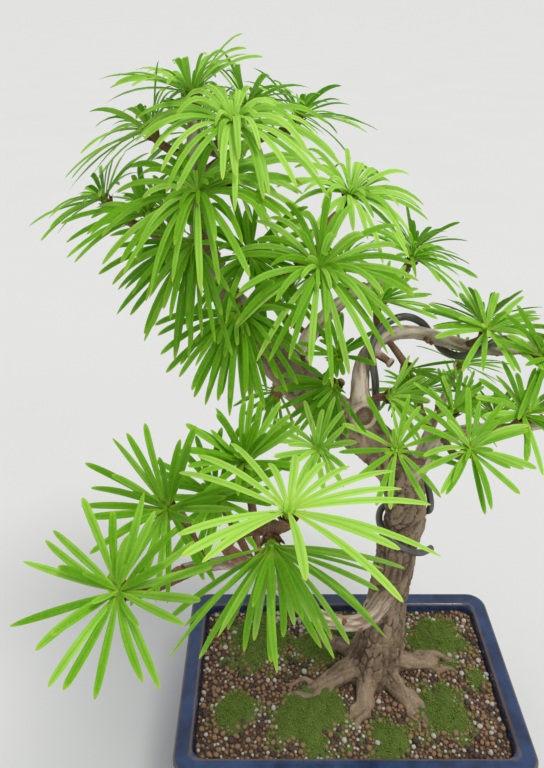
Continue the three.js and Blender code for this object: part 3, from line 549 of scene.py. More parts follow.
def surroundings_of(spray, grown, bars):
    """The spray's own needles, the paths of the others in reach, and the bars in reach."""
    reach = 1.2 * spray["length"]
    own = grown.setdefault(spray["name"], [])
    others = [
        n["path"] for name, needles in grown.items() if name != spray["name"] for n in needles
        if np.linalg.norm(n["path"][1:3].mean(0) - spray["at"]) < reach + 0.7 * n["length"]
    ]
    return own, np.array(others), bars.near(spray["at"], reach + 12)


def grow_long_needles(bars):
    """The same needles as the solids have, by the same draws."""
    draw = drawer(SEED)
    grown = {}
    for spray in SPRAYS:
        surroundings = surroundings_of(spray, grown, bars)
        start = draw() * 360
        for k in range(spray["count"]):
            by_hand = spray["name"] == "front_hero"
            place = FRONT_NEEDLES[k] if by_hand else whorled(spray, k, start, draw)
            n = first_clear(spray, *place, spread_draw(draw, WHORL["sway"]), surroundings, LONG_CLEAR)
            if n:
                grown[spray["name"]].append(n)
    return grown


# Further needles between the long ones: share of their number, lift from their spread, range of length,
# how far in their roots stand and how much more they bend over
FILLERS = [
    {"share": 1.0, "lift": 6, "length": (0.74, 0.96), "sunk": 0.7, "bend": 1.1},
    {"share": 0.6, "lift": 28, "length": (0.5, 0.8), "sunk": 1.4, "bend": 1.5},
    {"share": 0.5, "lift": 46, "length": (0.26, 0.46), "sunk": 1.9, "bend": 1.7},
]
FILLER_CLEAR = {"step": 0, "own": 1.7, "other": 2.3, "wood": 1.7}
FILLER_JITTER = {"bearing": 5, "polar": 8, "sway": 3 * WHORL["sway"]}
# Open sprays have fewer of them, close ones more
FULLNESS = {
    "front_hero": 0.0, "front_under": 0.8, "front_left": 0.6, "front_far_left": 0.7, "knob_star": 0.2,
    "right_edge": 0.7, "right_twig": 0.7, "wire_right": 0.8, "bend_above": 0.6, "bend_left": 1.0,
    "bright_tip": 1.5, "front_inner": 1.3, "front_upper": 1.5, "under_bend": 1.3,
}


def grow_fillers(grown, bars):
    draw = drawer(SEED + 1)
    for filler in FILLERS:
        for spray in SPRAYS:
            surroundings = surroundings_of(spray, grown, bars)
            first, last = spray["bearings"] or (0, 360)
            count = round(spray["count"] * filler["share"] * FULLNESS.get(spray["name"], 1))
            start = draw() * 360 / max(1, count)
            for k in range(count):
                bearing = first + start + (last - first) * k / count
                bearing += spread_draw(draw, FILLER_JITTER["bearing"])
                polar = spray["spread"] - filler["lift"] + spread_draw(draw, FILLER_JITTER["polar"])
                reach = spray["length"] * between(*filler["length"], draw())
                sway = spread_draw(draw, FILLER_JITTER["sway"])
                place = (bearing, polar, reach, sway)
                n = first_clear(spray, *place, surroundings, FILLER_CLEAR, filler["sunk"], filler["bend"])
                if n:
                    grown[spray["name"]].append(n)


# Skins: points, faces and the notes that a finish reads at each point

def ring_faces(rings, sides):
    """Faces over rings of equal count, in order, and over the two points that cap them."""
    i = np.arange(rings - 1)[:, None] * sides
    j = np.arange(sides)
    k = (j + 1) % sides
    first, last, top = np.full(sides, rings * sides), np.full(sides, rings * sides + 1), (rings - 1) * sides
    return [
        np.stack([i + j, i + k, i + sides + k, i + sides + j], -1).reshape(-1, 4),
        np.stack([first, k, j], -1), np.stack([last, top + j, top + k], -1),
    ]


def capped(rings):
    rings = np.asarray(rings, float)
    return np.vstack([rings.reshape(-1, 3), rings[0].mean(0), rings[-1].mean(0)])


def by_ring(values, sides, caps=None):
    """One value a ring, spread over its points and the two caps."""
    return np.concatenate([np.repeat(values, sides), caps or (values[0], values[-1])])


class Skin:
    """Points and faces being gathered for one piece."""

    def __init__(self):
        self.points, self.faces, self.notes, self.count = [], [], {}, 0

    def add(self, points, faces, **notes):
        self.points.append(points)
        self.faces += [f + self.count for f in faces]
        for name, value in notes.items():
            self.notes.setdefault(name, []).append(np.broadcast_to(np.asarray(value, float), len(points)))
        self.count += len(points)

    def add_rings(self, rings, **notes):
        rings = np.asarray(rings, float)
        self.add(capped(rings), ring_faces(*rings.shape[:2]), **notes)


def bar_rings(points, radii, sides):
    """Rings of a bar along points, turning as little as they can; a radius may differ round the ring."""
    normal = np.array([0.31, 0.17, 1.0])
    normals = []
    tangents = unit(np.gradient(points, axis=0))
    for tangent in tangents:
        normal = unit(normal - tangent * (normal @ tangent))
        normals.append(normal)
    normals = np.array(normals)[:, None]
    binormals = np.cross(tangents, normals[:, 0])[:, None]
    cos, sin = (wave(circle(sides))[None, :, None] for wave in (np.cos, np.sin))
    radii = np.asarray(radii, float)
    radii = np.broadcast_to(radii[:, None] if radii.ndim == 1 else radii, (len(points), sides))[..., None]
    return points[:, None] + radii * (normals * cos + binormals * sin)


def add_bar(skin, points, radii, sides, **notes):
    spread = {}
    for name, value in notes.items():
        spread[name] = by_ring(np.broadcast_to(np.asarray(value, float), len(points)), sides)
    skin.add_rings(bar_rings(points, radii, sides), **spread)


def placed(name, data):
    piece = bpy.data.objects.new(name, data)
    bpy.context.scene.collection.objects.link(piece)
    return piece


def mesh_object(name, points, faces):
    mesh = bpy.data.meshes.new(name)
    mesh.from_pydata(np.asarray(points).tolist(), [], [f for block in faces for f in block.tolist()])
    return placed(name, mesh)


def settle(name, mesh, finish, stands_for, sharp):
    """Makes a piece from a mesh that lies in the frame."""
    mesh.polygons.foreach_set("use_smooth", np.ones(len(mesh.polygons), bool))
    if sharp < 180:
        mesh.set_sharp_from_angle(angle=math.radians(sharp))
    piece = placed(name, mesh)
    mesh.materials.append(finish)
    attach(piece, "root")
    if stands_for:
        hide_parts(*stands_for)


def add_note(mesh, name, values):
    mesh.attributes.new(name, "FLOAT", "POINT").data.foreach_set("value", values.astype(np.float32))


def build(name, skin, finish, stands_for=(), sharp=180):
    """Makes a piece from a skin and settles it in the frame."""
    points = np.vstack(skin.points) * MM + ORIGIN
    mesh = bpy.data.meshes.new(name)
    mesh.vertices.add(len(points))
    mesh.vertices.foreach_set("co", points.ravel())
    sizes = np.concatenate([np.full(len(f), f.shape[1]) for f in skin.faces])
    corners = np.concatenate([f.ravel() for f in skin.faces])
    mesh.loops.add(len(corners))
    mesh.loops.foreach_set("vertex_index", corners.astype(np.int32))
    mesh.polygons.add(len(sizes))
    mesh.polygons.foreach_set("loop_start", np.concatenate([[0], np.cumsum(sizes)[:-1]]).astype(np.int32))
    mesh.update(calc_edges=True)
    mesh.validate()
    for note, values in skin.notes.items():
        add_note(mesh, note, np.concatenate(values))
    settle(name, mesh, finish, stands_for, sharp)


# Finishes

class Signal:
    """A value on its way through a material; arithmetic on it adds Math nodes."""

    def __init__(self, finish, socket):
        self.finish, self.socket = finish, socket

    def maths(self, operation, first, second):
        return self.finish.add("ShaderNodeMath", {"operation": operation}, {0: first, 1: second})

    def __add__(self, other):
        return self.maths("ADD", self, other)

    def __sub__(self, other):
        return self.maths("SUBTRACT", self, other)

    def __rsub__(self, other):
        return self.maths("SUBTRACT", other, self)

    def __mul__(self, other):
        return self.maths("MULTIPLY", self, other)

    __radd__ = __add__
    __rmul__ = __mul__


class Finish:
    """One material: a Principled shader and what feeds it."""

    def __init__(self, name, **fixed):
        self.material = bpy.data.materials.new(name)
        self.material.use_nodes = True
        self.tree = self.material.node_tree
        self.shader = next(n for n in self.tree.nodes if n.type == "BSDF_PRINCIPLED")
        for socket, value in fixed.items():
            self.shader.inputs[socket.replace("_", " ")].default_value = value

    def add(self, kind, settings, inputs, output=0):
        node = self.tree.nodes.new(kind)
        for name, value in settings.items():
            setattr(node, name, value)
        for name, value in inputs.items():
            self.feed(node.inputs[name], value)
        return Signal(self, node.outputs[output])

    def feed(self, socket, value):
        if isinstance(value, Signal):
            self.tree.links.new(value.socket, socket)
        else:
            socket.default_value = value

    def note(self, name):
        return self.add("ShaderNodeAttribute", {"attribute_name": name}, {}, "Fac")

    def pattern(self, kind, size, inputs, output, stretch=(1, 1, 1)):
        """A pattern with features about size millimetres across, drawn out along the axes by a stretch."""
        place = self.add("ShaderNodeTexCoord", {}, {}, "Object")
        if stretch != (1, 1, 1):
            place = self.add("ShaderNodeVectorMath", {"operation": "MULTIPLY"}, {0: place, 1: stretch})
        return self.add(kind, {}, {"Vector": place, "Scale": 1 / (size * MM), **inputs}, output)

    def noise(self, size, detail=3.0, roughness=0.55, stretch=(1, 1, 1), distortion=0.0):
        """Clouds, from 0 to 1."""
        inputs = {"Detail": detail, "Roughness": roughness, "Distortion": distortion}
        return self.pattern("ShaderNodeTexNoise", size, inputs, 0, stretch)

    def cells(self, size):
        """Distance from the middles of scattered cells."""
        return self.pattern("ShaderNodeTexVoronoi", size, {}, "Distance")

    def step(self, value, low, high):
        """0 below low, 1 above high, smooth between."""
        inputs = {"Value": value, "From Min": low, "From Max": high}
        return self.add("ShaderNodeMapRange", {"interpolation_type": "SMOOTHSTEP"}, inputs)

    def mix(self, share, first, second):
        colours = [c if isinstance(c, Signal) else (*c, 1) for c in (first, second)]
        return self.add("ShaderNodeMix", {"data_type": "RGBA"}, {0: share, 6: colours[0], 7: colours[1]}, 2)

    def blend(self, value, low, high, first, second, most=1):
        """The first colour where a value is below low; the second, by at most its share, above high."""
        share = self.step(value, low, high)
        return self.mix(share if most == 1 else share * most, first, second)

    def paint(self, colour, roughness, height=None, depth=0.0):
        """Feeds the shader: colour, roughness and relief whose full height is depth millimetres."""
        self.feed(self.shader.inputs["Base Color"], colour)
        self.feed(self.shader.inputs["Roughness"], roughness)
        if height is not None:
            bump = self.add("ShaderNodeBump", {}, {"Height": height, "Distance": depth * MM, "Strength": 1.0})
            self.feed(self.shader.inputs["Normal"], bump)
        return self.material


def needle_finish():
    f = Finish(
        "larch_needle", Subsurface_Weight=0.2, Subsurface_Radius=(0.5, 1.0, 0.1), Subsurface_Scale=0.001,
        Specular_IOR_Level=0.18,
    )
    along = f.note("along")
    # The share of young colour carries painted light and shade as well as youth: shaded sprays get the darker
    # greens, lit ones the brighter
    age = f.step(0.95 * f.note("youth") + 0.35 * f.note("tint") + 0.3 * f.noise(14, 2), 0.15, 1.35)
    green = f.blend(age, 0.0, 0.6, (0.065, 0.250, 0.002), (0.165, 0.44, 0.003))
    green = f.blend(age, 0.48, 1.0, green, (0.44, 0.77, 0.105))
    base = f.blend(along, 0.22, 0.0, green, (0.48, 0.68, 0.06), 0.5)
    tip = f.blend(along, 0.9, 1.0, base, (0.56, 0.72, 0.07), 0.35)
    pale = f.mix(f.note("under") * 0.35, tip, (0.22, 0.46, 0.03))
    # The midline is painted darker: the needle's own midrib, and painted shade in the groove along it
    rib = f.mix(f.note("rib") * 0.32, pale, (0.05, 0.24, 0.004))
    speckle = f.noise(0.9)
    colour = f.blend(speckle, 0.35, 0.75, rib, (0.50, 0.78, 0.06), 0.14)
    return f.paint(colour, 0.48 + 0.16 * speckle, f.noise(0.6), 0.06)


def bark_finish():
    f = Finish("larch_bark")
    young, streak = f.note("young"), f.note("streak")
    broad, fine = f.noise(22, 4), f.noise(1.5, 5, 0.65)
    old = f.blend(broad + 0.5 * f.note("plate"), 0.45, 1.05, (0.125, 0.078, 0.040), (0.32, 0.225, 0.140))
    old = f.blend(fine + 0.4 * streak, 0.55, 1.0, old, (0.47, 0.36, 0.245), 0.6)
    mid = f.blend(0.6 * broad + 0.8 * streak, 0.45, 0.95, (0.26, 0.165, 0.098), (0.76, 0.645, 0.52))
    mid = f.blend(fine, 0.5, 0.75, mid, (0.80, 0.71, 0.60), 0.35)
    shoot = f.blend(fine + 0.4 * streak, 0.5, 0.95, (0.13, 0.042, 0.018), (0.33, 0.14, 0.065))
    bark = f.blend(young, 0.0, 0.28, old, mid)
    bark = f.blend(young, 0.5, 0.95, bark, shoot)
    bark = f.blend(f.note("crack"), 0.15, 0.8, bark, (0.06, 0.036, 0.021), 0.85)
    lichen = f.step(f.noise(9, 5, 0.6), 0.62, 0.72) * f.step(young, 0.4, 0.1)
    bark = f.mix(lichen * 0.35, bark, (0.36, 0.37, 0.25))
    height = 0.6 * fine + 0.4 * f.noise(0.7, 3, 0.6)
    return f.paint(bark, 0.7 + 0.2 * fine, height, 0.4)


def spur_finish():
    f = Finish("spur_and_bud_scales")
    fine = f.noise(0.9, 4, 0.6)
    brown = f.blend(fine, 0.3, 0.72, (0.07, 0.032, 0.014), (0.20, 0.105, 0.050))
    worn = f.blend(f.note("ridge"), 0.3, 1.0, brown, (0.34, 0.215, 0.125), 0.55)
    scale = f.blend(fine, 0.3, 0.7, (0.16, 0.058, 0.020), (0.38, 0.18, 0.075))
    return f.paint(f.mix(f.note("fresh"), worn, scale), 0.6 + 0.25 * fine, fine, 0.15)


def scar_finish():
    f = Finish("pruning_scar")
    inward, fine = f.note("inward"), f.noise(0.7, 4, 0.6)
    callus = f.blend(fine, 0.3, 0.7, (0.42, 0.32, 0.21), (0.68, 0.57, 0.43))
    wood = f.blend(fine, 0.35, 0.7, (0.105, 0.058, 0.030), (0.21, 0.135, 0.080))
    pith = f.blend(fine, 0.35, 0.7, (0.16, 0.11, 0.070), (0.32, 0.24, 0.165))
    face = f.blend(inward, 0.2, 0.3, callus, wood)
    face = f.blend(inward, 0.56, 0.66, face, pith)
    return f.paint(face, 0.8, fine + 0.6 * f.note("ripple"), 0.25)


def wire_finish():
    f = Finish("anodised_training_wire", Metallic=0.7)
    broad, fine = f.noise(12), f.noise(0.8, 4, 0.65)
    dark = f.blend(broad, 0.3, 0.7, (0.115, 0.112, 0.105), (0.20, 0.19, 0.175))
    scuffed = f.blend(fine, 0.6, 0.8, dark, (0.42, 0.40, 0.37), 0.5)
    return f.paint(scuffed, 0.30 + 0.2 * fine, fine, 0.03)


def glaze_finish():
    f = Finish("pot_glaze", Coat_Weight=0.6, Coat_Roughness=0.08)
    glazed = f.note("glazed")
    flow, speck = f.noise(16, 4, 0.6, (1, 1, 0.35), 0.6), f.noise(1.1, 3, 0.6)
    deep = f.blend(flow, 0.3, 0.7, (0.010, 0.022, 0.070), (0.022, 0.060, 0.165))
    deep = f.blend(speck, 0.62, 0.8, deep, (0.07, 0.14, 0.26), 0.5)
    thin = f.blend(f.note("edge") + 0.35 * flow, 0.45, 1.15, deep, (0.16, 0.105, 0.075), 0.8)
    clay = f.mix(f.noise(3, 5, 0.7), (0.17, 0.085, 0.052), (0.30, 0.165, 0.105))
    roughness = 0.72 - 0.54 * glazed + 0.08 * speck
    return f.paint(f.mix(glazed, clay, thin), roughness, 0.6 * flow + 0.4 * speck, 0.22)


def grain_finish():
    f = Finish("soil_grains")
    kind, rough = f.note("kind"), f.noise(0.8, 5, 0.7)
    clay = f.mix(rough, (0.20, 0.105, 0.055), (0.40, 0.25, 0.14))
    pumice = f.mix(rough, (0.40, 0.37, 0.31), (0.66, 0.62, 0.54))
    lava = f.mix(rough, (0.045, 0.030, 0.027), (0.12, 0.075, 0.062))
    colour = f.blend(kind, 0.60, 0.62, clay, pumice)
    return f.paint(f.blend(kind, 0.80, 0.82, colour, lava), 0.92, rough, 0.3)


def bed_finish():
    f = Finish("soil_bed")
    grit, rough = f.cells(1.6), f.noise(2.2, 5, 0.7)
    # Each cell is painted light in its middle and dark towards its edge: painted shade in the gaps between
    # grains
    colour = f.blend(grit, 0.1, 0.6, (0.19, 0.115, 0.066), (0.055, 0.034, 0.022))
    colour = f.blend(rough, 0.45, 0.7, colour, (0.26, 0.17, 0.10), 0.5)
    return f.paint(colour, 0.95, rough - grit, 0.8)


def moss_finish():
    f = Finish("moss", Subsurface_Weight=0.15, Subsurface_Radius=(0.5, 1.0, 0.2), Subsurface_Scale=0.001)
    broad, fine = f.noise(9), f.noise(0.8)
    low = f.mix(broad, (0.045, 0.085, 0.010), (0.085, 0.135, 0.018))
    high = f.mix(broad, (0.18, 0.30, 0.026), (0.34, 0.44, 0.055))
    return f.paint(f.blend(f.note("tip") + 0.4 * fine, 0.15, 1.1, low, high), 0.85, fine, 0.2)


def plain_finish(name, size, grit, dark, light, roughness, depth, **fixed):
    """Two colours in a fine pattern that also roughens the surface."""
    f = Finish(name, **fixed)
    fine = f.noise(size, 4, grit)
    return f.paint(f.mix(fine, dark, light), roughness + 0.2 * fine, fine, depth)


# Needles, spurs and bud scales

# Width along a needle as a share of the widest, for a blunt and for a pointed one
BLADE_SHARES = np.array([-0.05, 0.02, 0.08, 0.17, 0.3, 0.45, 0.6, 0.74, 0.85, 0.92, 0.96, 0.985, 1.0])
BLUNT = np.array([0.3, 0.40, 0.54, 0.69, 0.84, 0.94, 1.0, 1.0, 0.95, 0.83, 0.65, 0.41, 0.08])
POINTED = np.array([0.3, 0.40, 0.56, 0.74, 0.92, 1.0, 0.98, 0.87, 0.68, 0.48, 0.32, 0.18, 0.05])
# Section of a needle: across and up, in half widths
BLADE_SECTION = np.array([
    (-1, 0), (-0.5, 0.15), (0, 0.03), (0.5, 0.15), (1, 0), (0.45, -0.17), (0, -0.36), (-0.45, -0.17),
])
BLADE_UNDER = np.array([0, 0, 0, 0, 0, 1, 1, 1])
# How much darker each point of the section is painted along the midline: midrib tone and painted shade in the
# top groove
BLADE_MIDRIB_AND_SHADE = np.array([0, 0, 1, 0, 0, 0, 0.4, 0])
# Breadth of a needle against the solid's, from and to, how far its face rolls towards the front and twists,
# and the length from which it has its full breadth
BLADE = {"breadth": (0.86, 1.06), "roll": 0.4, "twist": 0.35, "full_length": 26}
# The same for young needles and scales, and the bud of young needles in the middle of a spray: how many,
# their lengths and leans from inmost to outmost, and the outline of the bud they stand on
LEAF_SHARES = np.array([0, 0.25, 0.55, 0.8, 1.0])
LEAF_WIDTHS = np.array([0.85, 1.0, 0.85, 0.5, 0.08])
LEAF_SECTION = np.array([(-1, -0.1), (-0.5, 0.12), (0, 0.2), (0.5, 0.12), (1, -0.1), (0, -0.02)])
BUD = {"count": 15, "length": (2.6, 6.4), "lean": (6, 62), "width": 1.7}
BUD_OUTLINE = [(0.8, -2.4), (1.3, -1.7), (1.5, -0.8), (1.35, 0.2), (0.9, 1.0), (0.3, 1.4)]
GOLDEN_TURN = 137.5
# Papery scales round the foot of a spray, in two rows: number, height, distance out, lean and length
SCALE_ROWS = [(7, -3.6, 1.9, 34, 3.4), (8, -2.4, 2.3, 46, 3.2)]
SCALE_WIDTH = 2.3


def blade_rings(n, shares, widths, section, width, twist=0.0, roll=0.0):
    """Rings of a flat blade that follows a needle's path."""
    arch = NEEDLE["arch"]
    middle = needle_points(n, shares)[:, None]
    u = np.maximum(shares, 0)[:, None]
    fall = UP * (0.5 * arch * n["droop"]) * u ** (arch - 1)
    ahead = unit(n["direction"] - fall + n["side"] * 2 * n["sway"] * u)
    side = unit(n["side"] - ahead * (ahead @ n["side"])[:, None])
    face = np.cross(side, ahead)
    face *= np.where(face @ n["axis"] < 0, -1, 1)[:, None]
    turn = (twist * np.clip(shares, 0, 1) ** 1.5 - roll * side @ FRONT)[:, None]
    side, face = side * np.cos(turn) + face * np.sin(turn), face * np.cos(turn) - side * np.sin(turn)
    half = widths * width / 2
    thick = np.maximum(widths, 0.5) * width / 2 * np.minimum(1, 4 * (1.02 - shares))
    across = side[:, None] * section[None, :, :1] * half[:, None, None]
    return middle + across + face[:, None] * section[None, :, 1:] * thick[:, None, None]


def needle_skin(spray, needles, draw):
    """All needles of a spray, with the small young ones packed round its bud."""
    skin = Skin()
    along = by_ring(np.clip(BLADE_SHARES, 0, 1), len(BLADE_SECTION))
    under, rib = (np.append(np.tile(row, len(BLADE_SHARES)), [0, 0]) for row in (BLADE_UNDER, BLADE_MIDRIB_AND_SHADE))
    for n in needles:
        grown_out = 0.55 + 0.45 * min(1, n["length"] / BLADE["full_length"])
        width = NEEDLE["width"] * between(*BLADE["breadth"], draw()) * grown_out
        shares = BLADE_SHARES.copy()
        shares[0] = -NEEDLE["sunk"] / n["length"]
        widths = between(BLUNT, POINTED, draw() ** 1.5)
        twist = spread_draw(draw, BLADE["twist"])
        rings = blade_rings(n, shares, widths, BLADE_SECTION, width, twist, BLADE["roll"])
        skin.add_rings(rings, along=along, under=under, rib=rib, tint=draw(), youth=spray["youth"])
    add_bud(skin, spray, draw)
    return skin


def add_leaf(skin, root, axis, outward, direction, length, width, **notes):
    """A short straight blade: a young needle or a scale."""
    n = {
        "axis": axis, "side": np.cross(axis, outward), "root": root, "direction": direction, "length": length,
        "droop": 0.0, "sway": 0.0,
    }
    skin.add_rings(blade_rings(n, LEAF_SHARES, LEAF_WIDTHS, LEAF_SECTION, width), **notes)


def add_bud(skin, spray, draw):
    """A small bud wrapped in short young needles that open outwards."""
    axis, at = spray["axis"], spray["at"]
    look = {"under": 0, "rib": 0, "youth": min(1.0, spray["youth"] + 0.15)}
    spokes = np.array([outward_at(axis, turn) for turn in range(0, 360, 30)])
    skin.add_rings([at + axis * z + spokes * r for r, z in BUD_OUTLINE], along=0.05, tint=draw(), **look)
    along = by_ring(LEAF_SHARES, len(LEAF_SECTION))
    for k in range(BUD["count"]):
        share = ((k + 0.5) / BUD["count"]) ** 0.6
        outward = outward_at(axis, GOLDEN_TURN * k + spread_draw(draw, 12))
        lean = between(*BUD["lean"], share) + spread_draw(draw, 6)
        reach = between(*BUD["length"], share) * (0.85 + 0.3 * draw())
        root = at - axis * 0.6 * share + outward * (0.25 + 1.1 * share)
        add_leaf(
            skin, root, axis, outward, turned(axis, outward, lean), reach, BUD["width"],
            along=0.1 + 0.5 * along, tint=draw(), **look,
        )


def add_scales(skin, spray, draw):
    """Papery bud scales that cup the foot of a spray."""
    axis, at = spray["axis"], spray["at"]
    for row, (count, low, radius, lean, length) in enumerate(SCALE_ROWS):
        for k in range(count):
            outward = outward_at(axis, 360 * (k + 0.5 * row) / count + spread_draw(draw, 8))
            direction = turned(axis, outward, lean + spread_draw(draw, 12))
            reach = length * (0.85 + 0.3 * draw())
            root = at + axis * low + outward * radius
            add_leaf(skin, root, axis, outward, direction, reach, SCALE_WIDTH, ridge=draw(), fresh=0.8)


# Ridges left by old bud scales: near the tip and lower down, how far apart and how strong
RIDGED_TIP = 11.0
RIDGES = {"near": (1.1, 1.0), "lower": (3.2, 0.45)}


def ridges_along(lengths, total, draw):
    ridge = np.zeros(len(lengths))
    place = total - 0.6
    while place > 0:
        apart, strength = RIDGES["near" if total - place < RIDGED_TIP else "lower"]
        spacing = apart * (0.8 + 0.4 * draw())
        ridge += strength * np.exp(-(((lengths - place) / (0.3 * spacing)) ** 2))
        place -= spacing
    return np.clip(ridge, 0, 1)


def add_spur(skin, curve, draw):
    sides = 11
    shares = even(max(12, int(curve.length / 0.5)))
    ridge = ridges_along(shares * curve.length, curve.length, draw)
    foot = 1 + 0.55 * np.exp(-((shares * curve.length / 2.2) ** 2))
    radii = spur_radius(shares) * foot * (0.94 + 0.14 * ridge)
    lobes = 1 + 0.05 * np.sin(circle(sides) * 3 + draw() * TAU)
    add_bar(skin, curve.at(shares), radii[:, None] * lobes[None], sides, ridge=ridge, fresh=0.15)


def add_stub(skin, foot, lean, height, draw, size=1.0):
    """A dormant spur: a short ringed foot with a rounded bud of brown scales."""
    reach = even(15)
    stem = 1.2 + 0.7 * np.exp(-((reach / 0.2) ** 2)) + 0.12 * np.sin(reach * height * 6)
    bud = 1.35 * np.clip(1 - np.clip((reach - 0.45) / 0.55, 0, 1) ** 1.7, 0.02, 1) ** 0.8
    radii = size * np.where(reach < 0.45, stem, bud)
    points = foot + lean * (reach * height)[:, None]
    add_bar(skin, points, radii, 9, ridge=0.3, fresh=np.where(reach < 0.45, 0.1, 0.75))
    for k in range(5):
        across = outward_at(lean, 72 * k + spread_draw(draw, 10))
        root = foot + lean * 0.42 * height + across * 1.25 * size
        direction = unit(lean - 0.3 * across)
        add_leaf(skin, root, lean, across, direction, 0.55 * height, 1.6 * size, ridge=draw(), fresh=1.0)


# Dormant spurs: limb, how many and from which share of its length on
STUBS = [
    ("front", 9, 0.2), ("right", 8, 0.5), ("low_right", 7, 0.3), ("crown_right", 6, 0.3), ("left", 5, 0.3),
    ("back", 7, 0.2), ("back_low", 6, 0.2), ("crown_back", 5, 0.2), ("trunk", 6, 0.66),
]
# Plump buds: limb, share of its length, angle round it, height and size against the dormant ones
LARGE_BUDS = [
    ("crown_right", 0.42, 30, 5.0, 1.5), ("crown_right", 0.5, 250, 4.4, 1.3), ("trunk", 0.86, 300, 5.0, 1.5),
]


def add_stubs(skin, bars, draw):
    """A bud at the end of each limb, and dormant spurs along it clear of the wire and of other spurs."""
    for limb, count, first in STUBS:
        curve, thin = CURVES[limb], LIMBS[limb]["radii"][-1]
        end = curve.tangent(1.0)
        add_stub(skin, curve.at(1.0)[0] - end * 1.2, end, 4.0 + thin, draw, thin / 1.9)
        for k in range(count):
            share = first + (0.96 - first) * (k + draw()) / count
            surface, outward = on_limb(limb, share, draw() * 360)
            height = 2.6 + 1.4 * draw()
            start, tip = surface + outward * 2.5, surface + outward * (2.5 + height)
            a, b, radius, _ = bars.near(start, 40)
            if (gaps_between(start[None], tip[None], a, b) > radius + 1.2).all():
                lean = unit(outward + 0.35 * curve.tangent(share) + 0.15 * UP)
                add_stub(skin, surface - outward * 0.8, lean, height, draw)
    for limb, share, angle, height, size in LARGE_BUDS:
        foot, outward = on_limb(limb, share, angle, -0.8)
        add_stub(skin, foot, unit(outward + 0.5 * UP), height, draw, size)


# Wood

# Over how much of its surface the bark of one limb passes into another's, and the size of the cells in which
# the limbs are grown together
JOIN_WIDTH = 5.0
VOXEL = 0.95
# A cut of less than this radius is a twig's: how far its callus rolls, how young its bark is and how far
# below the callus its wood ends
TWIG_CUT = {"radius": 3.0, "roll": 0.3, "young": 0.8, "sunk": 0.9}
# Sizes of the bark's features, and the radius from which on it is as cracked as it gets
BARK = {
    "warp": 7, "plates": 5.4, "crack": 0.24, "ridges": 4.6, "streaks": 2.2, "wrinkles": 1.5, "swell": 14,
    "depth": 13, "old_radius": 12,
}


def grain_lines():
    """Middle lines that the bark follows: points, way along, reach, radius and youth at each point."""
    lines = []
    for name, limb in LIMBS.items():
        curve = CURVES[name]
        shares = even(int(curve.length / 1.5))
        young = limb["young"] + (0.3 * shares if name != "trunk" else 0.45 * smooth(shares, 0.8, 1))
        lines.append((curve, shares, radius_at(limb["radii"], shares), np.clip(young, 0, 1)))
    for curve, foot, tip, _ in root_lines():
        shares = even(40)
        lines.append((curve, shares, between(foot, tip, shares), 0 * shares))
    for start, facing, radius, stand in CUTS:
        curve = Curve([np.array(start) + unit(facing) * reach for reach in (0.3 * stand, 0.6 * stand, stand)])
        shares = even(12)
        young = TWIG_CUT["young"] if radius < TWIG_CUT["radius"] else 0.2
        lines.append((curve, shares, radius + 0 * shares, young + 0 * shares))
    described = []
    for curve, shares, radii, young in lines:
        points = curve.at(shares)
        described.append((points, unit(np.gradient(points, axis=0)), shares * curve.length, radii, young))
    return described


def limbs_by_nearness(points):
    """For each point, how far it lies outside each limb and which place on that limb is nearest."""
    gaps, places = [], []
    lines = grain_lines()
    for middles, _, _, radii, _ in lines:
        apart = (points**2).sum(1)[:, None] + (middles**2).sum(1)[None] - 2 * points @ middles.T
        place = apart.argmin(1)
        gaps.append(np.sqrt(np.maximum(apart[np.arange(len(points)), place], 0)) - radii[place])
        places.append(place)
    return lines, np.array(gaps), np.array(places)


def bark_relief(point, row):
    """Height of the bark at a point, its depth in a crack, its streaks and the tone of its plate."""
    middle, tangent, reach, radius, young = row
    offset = point - middle
    along = offset @ tangent
    radial = offset - tangent * along
    onward = tangent * (reach + along)
    age = min(1.0, radius / BARK["old_radius"]) * (1 - 0.8 * young)
    warp = noise.noise_vector(Vector(point) / BARK["warp"]) * 1.6
    spans, seeds = noise.voronoi((Vector(radial + onward * 0.34) + warp) / BARK["plates"])
    crack = max(0.0, 1 - (spans[1] - spans[0]) / BARK["crack"])
    plate = 0.5 + 0.5 * noise.cell(seeds[0] * 3.7)
    ridge = 1 - abs(noise.fractal(Vector(radial + onward * 0.22) / BARK["ridges"], 0.7, 2.1, 3))
    streak = noise.fractal(Vector(radial * 1.25 + onward * 0.12) / BARK["streaks"], 0.8, 2.0, 2)
    streak = 0.5 + 0.5 * streak
    wrinkle = noise.noise(Vector(radial * 0.2 + onward) / BARK["wrinkles"])
    swell = noise.noise(Vector(point) / BARK["swell"])
    depth = 0.7 + 0.6 * noise.noise(Vector(point) / BARK["depth"] + Vector((5, 1, 3)))
    deep = crack**1.4 * max(0.0, depth)
    height = age * (0.85 * (ridge - 1) - 1.5 * deep + 0.6 * (plate - 0.5)) + (0.3 + 0.7 * age) * swell
    height += 0.13 * wrinkle + (0.42 - 0.2 * age) * (streak - 0.5)
    return np.array([height, age * min(1.0, 1.1 * deep + 0.9 * max(0.0, 0.6 - ridge)), streak, plate, young])


